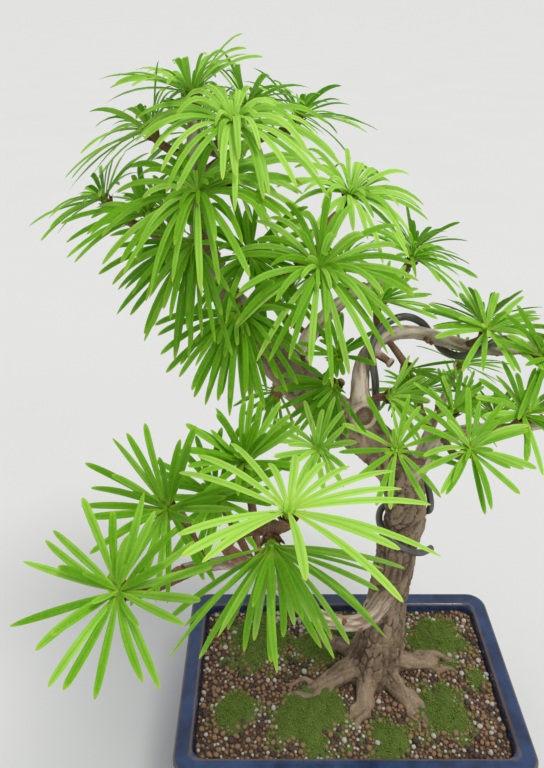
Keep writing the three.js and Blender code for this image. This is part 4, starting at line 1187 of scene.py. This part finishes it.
def wood_blank():
    """The limbs, roots and cuts as overlapping bars, before they are grown together."""
    skin = Skin()
    for name, limb in LIMBS.items():
        curve = CURVES[name]
        shares = even(max(8, int(curve.length / 4)))
        sides = 28 if name == "trunk" else 16
        add_bar(skin, curve.at(shares), radius_at(limb["radii"], shares) + 0.25, sides)
    for curve, foot, tip, bearing in root_lines():
        shares = even(18)
        radii = between(foot, tip, shares)
        if bearing is None:
            add_bar(skin, curve.at(shares), radii, 12)
        else:
            add_bar(skin, curve.at(shares), radii * (1 + 0.08 * np.sin(9 * shares + bearing)), 16)
    for start, facing, radius, stand in CUTS:
        reach = even(8)
        sunk = TWIG_CUT["sunk"] if radius < TWIG_CUT["radius"] else 0.5 * radius
        points = np.array(start) + unit(facing) * (reach * (stand - sunk))[:, None]
        add_bar(skin, points, radius * between(CUT_FLARE, 1, reach), 24)
    return skin


def grown_together(skin):
    """One closed skin over overlapping bars."""
    holder = mesh_object("wood_blank", np.vstack(skin.points), skin.faces)
    blank = holder.data
    remesh = holder.modifiers.new("grow", "REMESH")
    remesh.mode = "VOXEL"
    remesh.voxel_size = VOXEL
    ease = holder.modifiers.new("ease", "SMOOTH")
    ease.factor = 0.5
    ease.iterations = 4
    grown = holder.evaluated_get(bpy.context.evaluated_depsgraph_get()).to_mesh()
    count = len(grown.vertices)
    points, normals = np.empty(count * 3), np.empty(count * 3)
    grown.vertices.foreach_get("co", points)
    grown.vertices.foreach_get("normal", normals)
    faces = [np.array([tuple(p.vertices) for p in grown.polygons])]
    bpy.data.objects.remove(holder)
    bpy.data.meshes.remove(blank)
    return points.reshape(-1, 3), normals.reshape(-1, 3), faces


def wood_skin():
    """The wood with its bark; where two limbs meet, the grain of one passes over into the other's."""
    points, normals, faces = grown_together(wood_blank())
    lines, gaps, places = limbs_by_nearness(points)
    order = gaps.argsort(axis=0)[:2]
    relief = np.zeros((len(points), 5))
    for i, point in enumerate(points):
        first, second = order[:, i]
        lead = gaps[second, i] - gaps[first, i]
        relief[i] = bark_relief(point, [column[places[first, i]] for column in lines[first]])
        if lead < JOIN_WIDTH:
            share = 0.5 * (1 - lead / JOIN_WIDTH)
            other = bark_relief(point, [column[places[second, i]] for column in lines[second]])
            relief[i] += share * (other - relief[i])
    heights, cracks, streaks, plates, young = relief.T
    skin = Skin()
    points = points + normals * heights[:, None]
    skin.add(points, faces, crack=cracks, streak=streaks, plate=plates, young=young)
    return skin


# A healed cut from its edge to its middle: share of its radius, and height in radii
SCAR = [
    (1.06, -0.85), (1.13, -0.60), (1.14, -0.36), (1.10, -0.15), (1.02, 0.0), (0.94, 0.05), (0.86, 0.03),
    (0.80, -0.05), (0.76, -0.12),
]
# Share of its radius within which a healed cut shows bare wood
SCAR_WOOD = 0.73


def scar_skin():
    """Old cuts: a smooth roll of callus round rings of bare wood, dark and hollow in the middle."""
    skin = Skin()
    turns = np.arange(60) * 6.0
    rings_in = np.linspace(SCAR_WOOD, 0.02, 30)
    shares = np.concatenate([[share for share, _ in SCAR], rings_in])
    ripples = (0.5 + 0.5 * np.cos(shares * TAU * 11)) * (shares < 0.74)
    hollow = -0.12 - 0.02 * smooth(rings_in, SCAR_WOOD, 0.45) - 0.04 * smooth(rings_in, 0.45, 0.33)
    heights = np.concatenate([[height for _, height in SCAR], hollow]) + 0.022 * ripples
    for start, facing, radius, stand in CUTS:
        facing = unit(facing)
        spokes = np.array([outward_at(facing, turn) for turn in turns])
        wobble = 1 + 0.05 * np.sin(np.radians(turns * 2 + 30)) + 0.02 * np.sin(np.radians(turns * 5))
        middle = np.array(start) + facing * (stand + 0.4)
        roll = TWIG_CUT["roll"] if radius < TWIG_CUT["radius"] else 1.0
        rings = [
            middle + facing * h * radius * (1 if s > 1 else roll) + spokes * (radius * s * wobble)[:, None]
            for s, h in zip(shares, heights)
        ]
        inward = by_ring(1 - shares, len(turns), (0, 1))
        skin.add_rings(rings, inward=inward, ripple=by_ring(ripples, len(turns), (0, 0)))
    return skin


def wire_skin():
    """Round wire with its cut ends slightly rounded off."""
    curve = Curve(WIRE_POINTS, 0.5)
    shares = np.concatenate([[0, 0.0006, 0.0014], np.linspace(0.004, 0.996, 420), [0.9986, 0.9994, 1]])
    radii = np.full(len(shares), WIRE["radius"])
    radii[[0, -1]] = 0.72 * WIRE["radius"]
    radii[[1, -2]] = 0.92 * WIRE["radius"]
    skin = Skin()
    add_bar(skin, curve.at(shares), radii, 20)
    return skin


# Pot, drainage and soil

INSIDE_FLOOR = POT["foot"] + POT["floor"]
BASE_INSET = POT["lip"] + POT["taper"]
DRAINS = (-POT["drain_spacing"] / 2, POT["drain_spacing"] / 2)
CORNERS = ((1, 1), (-1, 1), (-1, -1), (1, -1))
HALF_WIDTH, HALF_DEPTH = POT["width"] / 2, POT["depth"] / 2
LIP_FOOT = POT["height"] - POT["lip_height"]
WAIST = (POT["lip"] + POT["taper"] * 0.35, (POT["foot"] + LIP_FOOT) / 2)


def rounded_ring(inset, z, corner_steps=10, side_steps=14, half=None, corner=None):
    """A rectangle with rounded corners, drawn in from the pot's outline by inset."""
    half_x, half_y = half or (HALF_WIDTH - inset, HALF_DEPTH - inset)
    radius = corner or max(2, min(POT["corner"], POT["corner"] - inset * 0.3))
    radius = min(radius, half_x, half_y)

    def on_corner(i, degrees):
        sign_x, sign_y = CORNERS[i % 4]
        turn = math.radians(degrees)
        return np.array([
            sign_x * (half_x - radius) + radius * math.cos(turn),
            sign_y * (half_y - radius) + radius * math.sin(turn), z,
        ])

    ring = []
    for i in range(4):
        ring += [on_corner(i, 90 * i + 90 * step / corner_steps) for step in range(corner_steps + 1)]
        begin, end = ring[-1], on_corner(i + 1, 90 * (i + 1))
        ring += [begin + (end - begin) * s / side_steps for s in range(1, side_steps)]
    return np.array(ring)


def inner_inset(z):
    return BASE_INSET + POT["wall"] - (z - INSIDE_FLOOR) / (POT["height"] - INSIDE_FLOOR) * POT["taper"]


SOIL_WALL = inner_inset(SOIL["edge"])


def rounded_profile(corners, steps=5):
    """A profile whose corners are turned into arcs: each row is inset, height and rounding."""
    profile = []
    for i, (inset, z, radius) in enumerate(corners):
        here = np.array([inset, z])
        if radius == 0 or i in (0, len(corners) - 1):
            profile.append(here)
            continue
        before, after = np.array(corners[i - 1][:2]), np.array(corners[i + 1][:2])
        start = here + unit(before - here) * radius
        end = here + unit(after - here) * radius
        for t in np.linspace(0, 1, steps):
            profile.append(start * (1 - t) ** 2 + 2 * here * t * (1 - t) + end * t**2)
    return profile


def filled_in(profile, longest=3.0):
    """The same profile with points no further apart than longest."""
    full = [profile[0]]
    for point in profile[1:]:
        parts = max(1, math.ceil(np.linalg.norm(point - full[-1]) / longest))
        start = full[-1]
        full += [start + (point - start) * k / parts for k in range(1, parts + 1)]
    return full


def pot_outside(z):
    """Inset of the outer wall at a height."""
    heights = [POT["foot"], WAIST[1], LIP_FOOT - 0.5, LIP_FOOT + 0.5, POT["height"]]
    return np.interp(z, heights, [BASE_INSET, WAIST[0], POT["lip"], 0, 0])


def inset_at(points):
    """How far points lie inside the pot's rounded outline."""
    radius = POT["corner"] + 1
    past = abs(points[:, :2]) - (np.array([HALF_WIDTH, HALF_DEPTH]) - radius)
    return radius - np.minimum(past.max(1), 0) - np.linalg.norm(np.maximum(past, 0), axis=1)


def pot_mesh():
    """The pot's body with its feet joined on and its drains cut out."""
    profile = filled_in(rounded_profile([
        (BASE_INSET + 4, POT["foot"], 0),
        (BASE_INSET, POT["foot"], 2.2),
        (*WAIST, 6),
        (POT["lip"], LIP_FOOT - 1.2, 1.0),
        (0, LIP_FOOT, 1.5),
        (0, POT["height"], 2.0),
        (inner_inset(POT["height"]), POT["height"], 2.0),
        (inner_inset(INSIDE_FLOOR), INSIDE_FLOOR, 3.0),
        (inner_inset(INSIDE_FLOOR) + 6, INSIDE_FLOOR, 0),
    ]))
    rings = [rounded_ring(inset, z) for inset, z in profile]
    body = mesh_object("pot_blank", capped(rings), ring_faces(len(rings), len(rings[0])))
    cutters = []
    for sx, sy in CORNERS:
        x = sx * (HALF_WIDTH - BASE_INSET - FOOT["inset"] - FOOT["length"] / 2)
        y = sy * (HALF_DEPTH - BASE_INSET - FOOT["inset"] - FOOT["width"] / 2)
        foot = []
        for shrink, z in ((FOOT["taper"] + 0.8, 0), (FOOT["taper"], 0.8), (1.2, 5.5), (0, POT["foot"] + 1)):
            half = (FOOT["length"] / 2 - shrink, FOOT["width"] / 2 - shrink)
            foot.append(rounded_ring(0, z, 6, 6, half, 3.0) + np.array([x, y, 0]))
        holder = mesh_object("pot_foot", capped(foot), ring_faces(len(foot), len(foot[0])))
        cutters.append((holder, "UNION"))
    for x in DRAINS:
        turns, radius = circle(64), POT["drain_radius"]
        ring = np.stack([x + radius * np.cos(turns), radius * np.sin(turns), 0 * turns], -1)
        drill = [ring + np.array([0, 0, z]) for z in (POT["foot"] - 6, INSIDE_FLOOR + 6)]
        cutters.append((mesh_object("pot_drain", capped(drill), ring_faces(2, 64)), "DIFFERENCE"))
    for cutter, operation in cutters:
        change = body.modifiers.new(cutter.name, "BOOLEAN")
        change.operation = operation
        change.object = cutter
        change.solver = "EXACT"
    mesh = bpy.data.meshes.new_from_object(body.evaluated_get(bpy.context.evaluated_depsgraph_get()))
    mesh.name = "pot_body"
    for holder in [body] + [cutter for cutter, _ in cutters]:
        bpy.data.objects.remove(holder)
    return mesh


def pot_piece():
    mesh = pot_mesh()
    count = len(mesh.vertices)
    flat = np.empty(count * 3)
    mesh.vertices.foreach_get("co", flat)
    points = flat.reshape(-1, 3)
    inset = inset_at(points)
    z = points[:, 2]
    inside = smooth(inset - pot_outside(z), 3.2, 4.4) * smooth(z, POT["height"] - 6, POT["height"] - 9)
    under = smooth(inset, BASE_INSET + 3, BASE_INSET + 6) * smooth(z, 8.6, 8.3) * (z > 7.6)
    top = POT["height"] - 0.5
    rims = ((0.5, top), (inner_inset(POT["height"]) - 0.5, top), (0.6, LIP_FOOT + 0.6))
    edge = sum(np.exp(-((inset - i) ** 2 + (z - h) ** 2) / 2.2) for i, h in rims)
    add_note(mesh, "glazed", np.clip(1 - inside - (smooth(z, 1.2, 0.4) + under), 0, 1))
    add_note(mesh, "edge", np.clip(edge, 0, 1))
    mesh.vertices.foreach_set("co", (points * MM + ORIGIN).ravel())
    mesh.materials.clear()
    settle("glazed_pot", mesh, glaze_finish(), ("pot",), 50)


def soil_height(x, y):
    """Top of the soil at a place: it rises from the wall to a low crown, with small unevenness."""
    inset = min(HALF_WIDTH - abs(x), HALF_DEPTH - abs(y)) - SOIL_WALL
    heights = (SOIL["edge"], SOIL["shoulder"], SOIL["crown"])
    rise = np.interp(inset, (0, SOIL["shoulder_in"], SOIL["crown_in"]), heights)
    return rise + 0.8 * noise.noise(Vector((x, y, 3)) / 14) - 0.5


def bed_skin():
    low = INSIDE_FLOOR + MESH["thick"] + CLIP["wire"] + 3 * CLEARANCE
    insets = np.arange(SOIL_WALL + CLEARANCE, HALF_DEPTH - 0.6, 1.5)
    rings = [rounded_ring(inner_inset(low) + CLEARANCE + bevel, low) for bevel in (8, 0)]
    rings += [rounded_ring(inner_inset(z) + CLEARANCE, z) for z in np.linspace(low + 2, SOIL["edge"] - 2, 14)]
    for inset in insets:
        ring = rounded_ring(inset, 0)
        ring[:, 2] = [soil_height(x, y) for x, y, _ in ring]
        rings.append(ring)
    skin = Skin()
    skin.add_rings(rings)
    return skin


# Moss cushions: middle, reach across and height
MOSS = [
    ((-26, -30), 25, 4.6), ((58, -26), 20, 4.0), ((66, 30), 22, 4.2), ((-60, 26), 24, 4.4),
    ((-74, -26), 15, 3.4), ((-4, 44), 17, 3.8), ((22, -46), 14, 3.2), ((-20, 22), 16, 3.6),
    ((88, -2), 10, 2.8),
]
# Leaves of the moss: how many, radius at the foot, shortest, how much longer the longest, and lean
MOSS_LEAF = {"count": 13000, "foot": 0.24, "least": 1.3, "more": 1.3, "lean": 0.55}
# Grains: places tried, least radius, how much more the largest has, nearness in radii, and the search grid
GRAIN = {"tries": 24000, "least": 0.95, "more": 1.15, "apart": 0.86, "pitch": 2.4}


def moss_height(x, y):
    """How far the moss stands above the soil at a place; below 0 there is none."""
    ragged = 1 + 0.5 * noise.noise(Vector((x, y, 4)) / 12) + 0.3 * noise.noise(Vector((x, y, 1)) / 4.5)
    lumps = 0.75 + 0.5 * noise.noise(Vector((x, y, 7)) / 6)
    best = -1.0
    for (mx, my), reach, height in MOSS:
        share = math.hypot(x - mx, y - my) / (reach * ragged)
        best = max(best, height * lumps * (1 - share**2) if share < 1 else 0.6 * (1 - share))
    return max(best, -1.0)


def on_soil(x, y, margin):
    wall = SOIL_WALL + margin
    across = HALF_WIDTH - wall - abs(x)
    deep = HALF_DEPTH - wall - abs(y)
    if across < 0 or deep < 0:
        return False
    corner = 9
    return across > corner or deep > corner or math.hypot(corner - across, corner - deep) < corner


def wood_gap(bars, point):
    """Distance from a point to the surface of the nearest wood at soil level."""
    a, b, radius = bars
    return (gaps_between(point[None], point[None] + 1e-3, a, b)[0] - radius).min()


def soil_level_bars():
    bars = Bars()
    shares = np.linspace(0, 0.16, 9)
    radii = radius_at(LIMBS["trunk"]["radii"], shares)
    bars.add(CURVES["trunk"].at(shares), lambda t: np.interp(t, even(9), radii))
    for curve, foot, tip, _ in root_lines():
        bars.add(curve.at(even(9)), lambda t, ends=(foot, tip): between(*ends, t))
    return np.array(bars.a), np.array(bars.b), np.array(bars.radius)


def moss_skin(bars, draw):
    """Moss: low cushions thick with short upright leaves."""
    skin = Skin()
    wall = SOIL_WALL + 0.8
    turns = circle(44)
    for (mx, my), reach, _ in MOSS:
        rings = []
        for share in np.linspace(1.35, 0.03, 24):
            xs = np.clip(mx + reach * share * np.cos(turns), wall - HALF_WIDTH, HALF_WIDTH - wall)
            ys = np.clip(my + reach * share * np.sin(turns), wall - HALF_DEPTH, HALF_DEPTH - wall)
            zs = [
                soil_height(x, y) + moss_height(x, y) + 0.5 * noise.noise(Vector((x, y, 9)) / 2.6)
                for x, y in zip(xs, ys)
            ]
            rings.append(np.stack([xs, ys, zs], -1))
        skin.add_rings([rings[0] - np.array([0, 0, 3.0])] + rings, tip=0.15)
    leaves = 0
    reaches = np.cumsum([reach**2 for _, reach, _ in MOSS])
    sides = np.array([(0, 1, 4, 3), (1, 2, 5, 4), (2, 0, 3, 5)])
    ends = np.array([(3, 4, 6), (4, 5, 6), (5, 3, 6), (2, 1, 0)])
    while leaves < MOSS_LEAF["count"]:
        (mx, my), reach, _ = MOSS[int(np.searchsorted(reaches, draw() * reaches[-1]))]
        x, y = mx + spread_draw(draw, 1.2 * reach), my + spread_draw(draw, 1.2 * reach)
        height = moss_height(x, y)
        if height <= 0.1 or not on_soil(x, y, 1.2):
            continue
        leaves += 1
        foot = np.array([x, y, soil_height(x, y) + height - 0.4])
        if wood_gap(bars, foot) < 0.5:
            continue
        lean = np.array([spread_draw(draw, MOSS_LEAF["lean"]), spread_draw(draw, MOSS_LEAF["lean"]), 1.0])
        reach_up = unit(lean) * (MOSS_LEAF["least"] + MOSS_LEAF["more"] * draw())
        turns = draw() * TAU + circle(3)
        ring = foot + MOSS_LEAF["foot"] * np.stack([np.cos(turns), np.sin(turns), 0 * turns], -1)
        waist = foot + reach_up * 0.55 + (ring - foot) * 0.9
        points = np.vstack([ring, waist, foot + reach_up])
        skin.add(points, [sides, ends], tip=(0.1, 0.1, 0.1, 0.6, 0.6, 0.6, 1.0))
    return skin


def ball():
    shape = bmesh.new()
    bmesh.ops.create_icosphere(shape, subdivisions=2, radius=1)
    points = np.array([v.co[:] for v in shape.verts])
    faces = np.array([[v.index for v in f.verts] for f in shape.faces])
    shape.free()
    return points, faces


def grain_skin(bars, draw):
    """Grains of baked clay, pumice and lava over the soil wherever there is no moss."""
    skin = Skin()
    points, faces = ball()
    spots = {}
    for _ in range(GRAIN["tries"]):
        x, y = spread_draw(draw, HALF_WIDTH), spread_draw(draw, HALF_DEPTH)
        size = GRAIN["least"] + GRAIN["more"] * draw() ** 1.6
        if not on_soil(x, y, size) or moss_height(x, y) > 1.2:
            continue
        cell = (round(x / GRAIN["pitch"]), round(y / GRAIN["pitch"]))
        near = [
            spot for i in range(-2, 3) for j in range(-2, 3)
            for spot in spots.get((cell[0] + i, cell[1] + j), ())
        ]
        if any(math.hypot(x - sx, y - sy) < GRAIN["apart"] * (size + other) for sx, sy, other in near):
            continue
        middle = np.array([x, y, soil_height(x, y) + 0.45 * size])
        if wood_gap(bars, middle) < 0.35 * size:
            continue
        spots.setdefault(cell, []).append((x, y, size))
        bumps = np.array([noise.noise(Vector(p * 1.3 + middle)) for p in points])
        flat = np.array([1, 0.72 + 0.28 * draw(), 0.66 + 0.3 * draw()])
        shape = points * (size * (1 + 0.34 * bumps))[:, None] * flat
        turn = draw() * TAU
        cos, sin = math.cos(turn), math.sin(turn)
        shape = shape @ np.array([[cos, sin, 0], [-sin, cos, 0], [0, 0, 1]])
        skin.add(middle + shape, [faces], kind=draw())
    return skin


def clip_skin(x):
    """The bent wire that holds a drain mesh."""
    top = INSIDE_FLOOR + MESH["thick"] + 2 * CLEARANCE + CLIP["wire"] / 2
    foot = POT["foot"] - CLEARANCE - CLIP["wire"] / 2
    leg = MESH["pitch"]
    half = [
        (leg - 1.4, top), (leg, top - 1.4), (leg, foot + 2), (leg + 1, foot + 0.3), (leg + 3, foot),
        (CLIP["reach"], foot),
    ]
    points = [(x - u, 0, z) for u, z in reversed(half)] + [(x + u, 0, z) for u, z in half]
    skin = Skin()
    add_bar(skin, Curve(points, 0.3).at(even(120)), np.full(120, CLIP["wire"] / 2), 14)
    return skin


# The tree in its pot

bars = all_bars()
grown = grow_long_needles(bars)
grow_fillers(grown, bars)

draw = drawer(SEED + 2)
green = needle_finish()
for spray in SPRAYS:
    name = spray["name"]
    build("spray_" + name, needle_skin(spray, grown[name], draw), green, ("needles_" + name,), 30)

spurs = Skin()
for spray in SPRAYS:
    add_spur(spurs, spray["spur"], draw)
    add_scales(spurs, spray, draw)
add_stubs(spurs, bars, draw)
build("spurs_and_buds", spurs, spur_finish(), sharp=60)

build("trunk_bark", wood_skin(), bark_finish(), ("trunk_and_branches",))
build("pruning_scars", scar_skin(), scar_finish())
build("wound_wire", wire_skin(), wire_finish(), ("training_wire",), 50)

pot_piece()
soil_bars = soil_level_bars()
build("soil_bed", bed_skin(), bed_finish(), ("soil",))
build("soil_grains", grain_skin(soil_bars, drawer(SEED + 3)), grain_finish())
build("moss", moss_skin(soil_bars, drawer(SEED + 4)), moss_finish())
plastic = plain_finish(
    "drain_mesh_plastic", 1.4, 0.55, (0.030, 0.110, 0.075), (0.060, 0.180, 0.120), 0.45, 0.05,
)
metal = plain_finish(
    "drain_clip_wire", 1.2, 0.65, (0.42, 0.40, 0.37), (0.60, 0.58, 0.54), 0.3, 0.03, Metallic=1.0,
)
for side, x in zip(("left", "right"), DRAINS):
    build("clip_" + side, clip_skin(x), metal, ("drain_clip_" + side,), 50)
    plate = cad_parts["drain_mesh_" + side]
    plate.data.materials.clear()
    plate.data.materials.append(plastic)


# Floor, light and camera

# How far the floor reaches from the middle to each side, in metres
FLOOR = 300


def light(name, towards, strength, softness, colour):
    """A broad soft light that falls from one side on everything."""
    lamp = bpy.data.lights.new(name, "SUN")
    lamp.energy = strength
    lamp.angle = math.radians(softness)
    lamp.color = colour
    holder = placed(name, lamp)
    holder.location = Vector(towards) * -1
    holder.rotation_euler = Vector(towards).to_track_quat("-Z", "Y").to_euler()


floor_finish = Finish("pale_floor")
tone = floor_finish.mix(floor_finish.noise(300, 2), (0.78, 0.78, 0.76), (0.82, 0.82, 0.80))
floor_corners = [(-sx * FLOOR, -sy * FLOOR, 0) for sx, sy in CORNERS]
floor = mesh_object("floor", floor_corners, [np.array([(0, 1, 2, 3)])])
floor.data.materials.append(floor_finish.paint(tone, 0.9))

light("overhead_light", (-0.35, 0.28, -1), 1.6, 24, (1.0, 0.99, 0.96))
light("side_light", (-1, 0.4, -0.5), 0.3, 60, (0.96, 0.98, 1.0))

world = bpy.data.worlds.new("soft_room")
world.use_nodes = True
air = world.node_tree.nodes["Background"].inputs
air["Color"].default_value = (0.94, 0.96, 1.0, 1)
air["Strength"].default_value = 0.5
bpy.context.scene.world = world
bpy.context.scene.view_settings.view_transform = "Standard"

camera = bpy.data.cameras.new("camera")
camera.sensor_fit = "VERTICAL"
camera.sensor_height = 24
camera.lens = camera.sensor_height * CAMERA["focal"]
camera.clip_start = 0.01
viewer = placed("camera", camera)
viewer.location = np.array(CAMERA["at"]) * MM + ORIGIN
viewer.rotation_euler = (math.radians(90 - CAMERA["down"]), 0, 0)
bpy.context.scene.camera = viewer
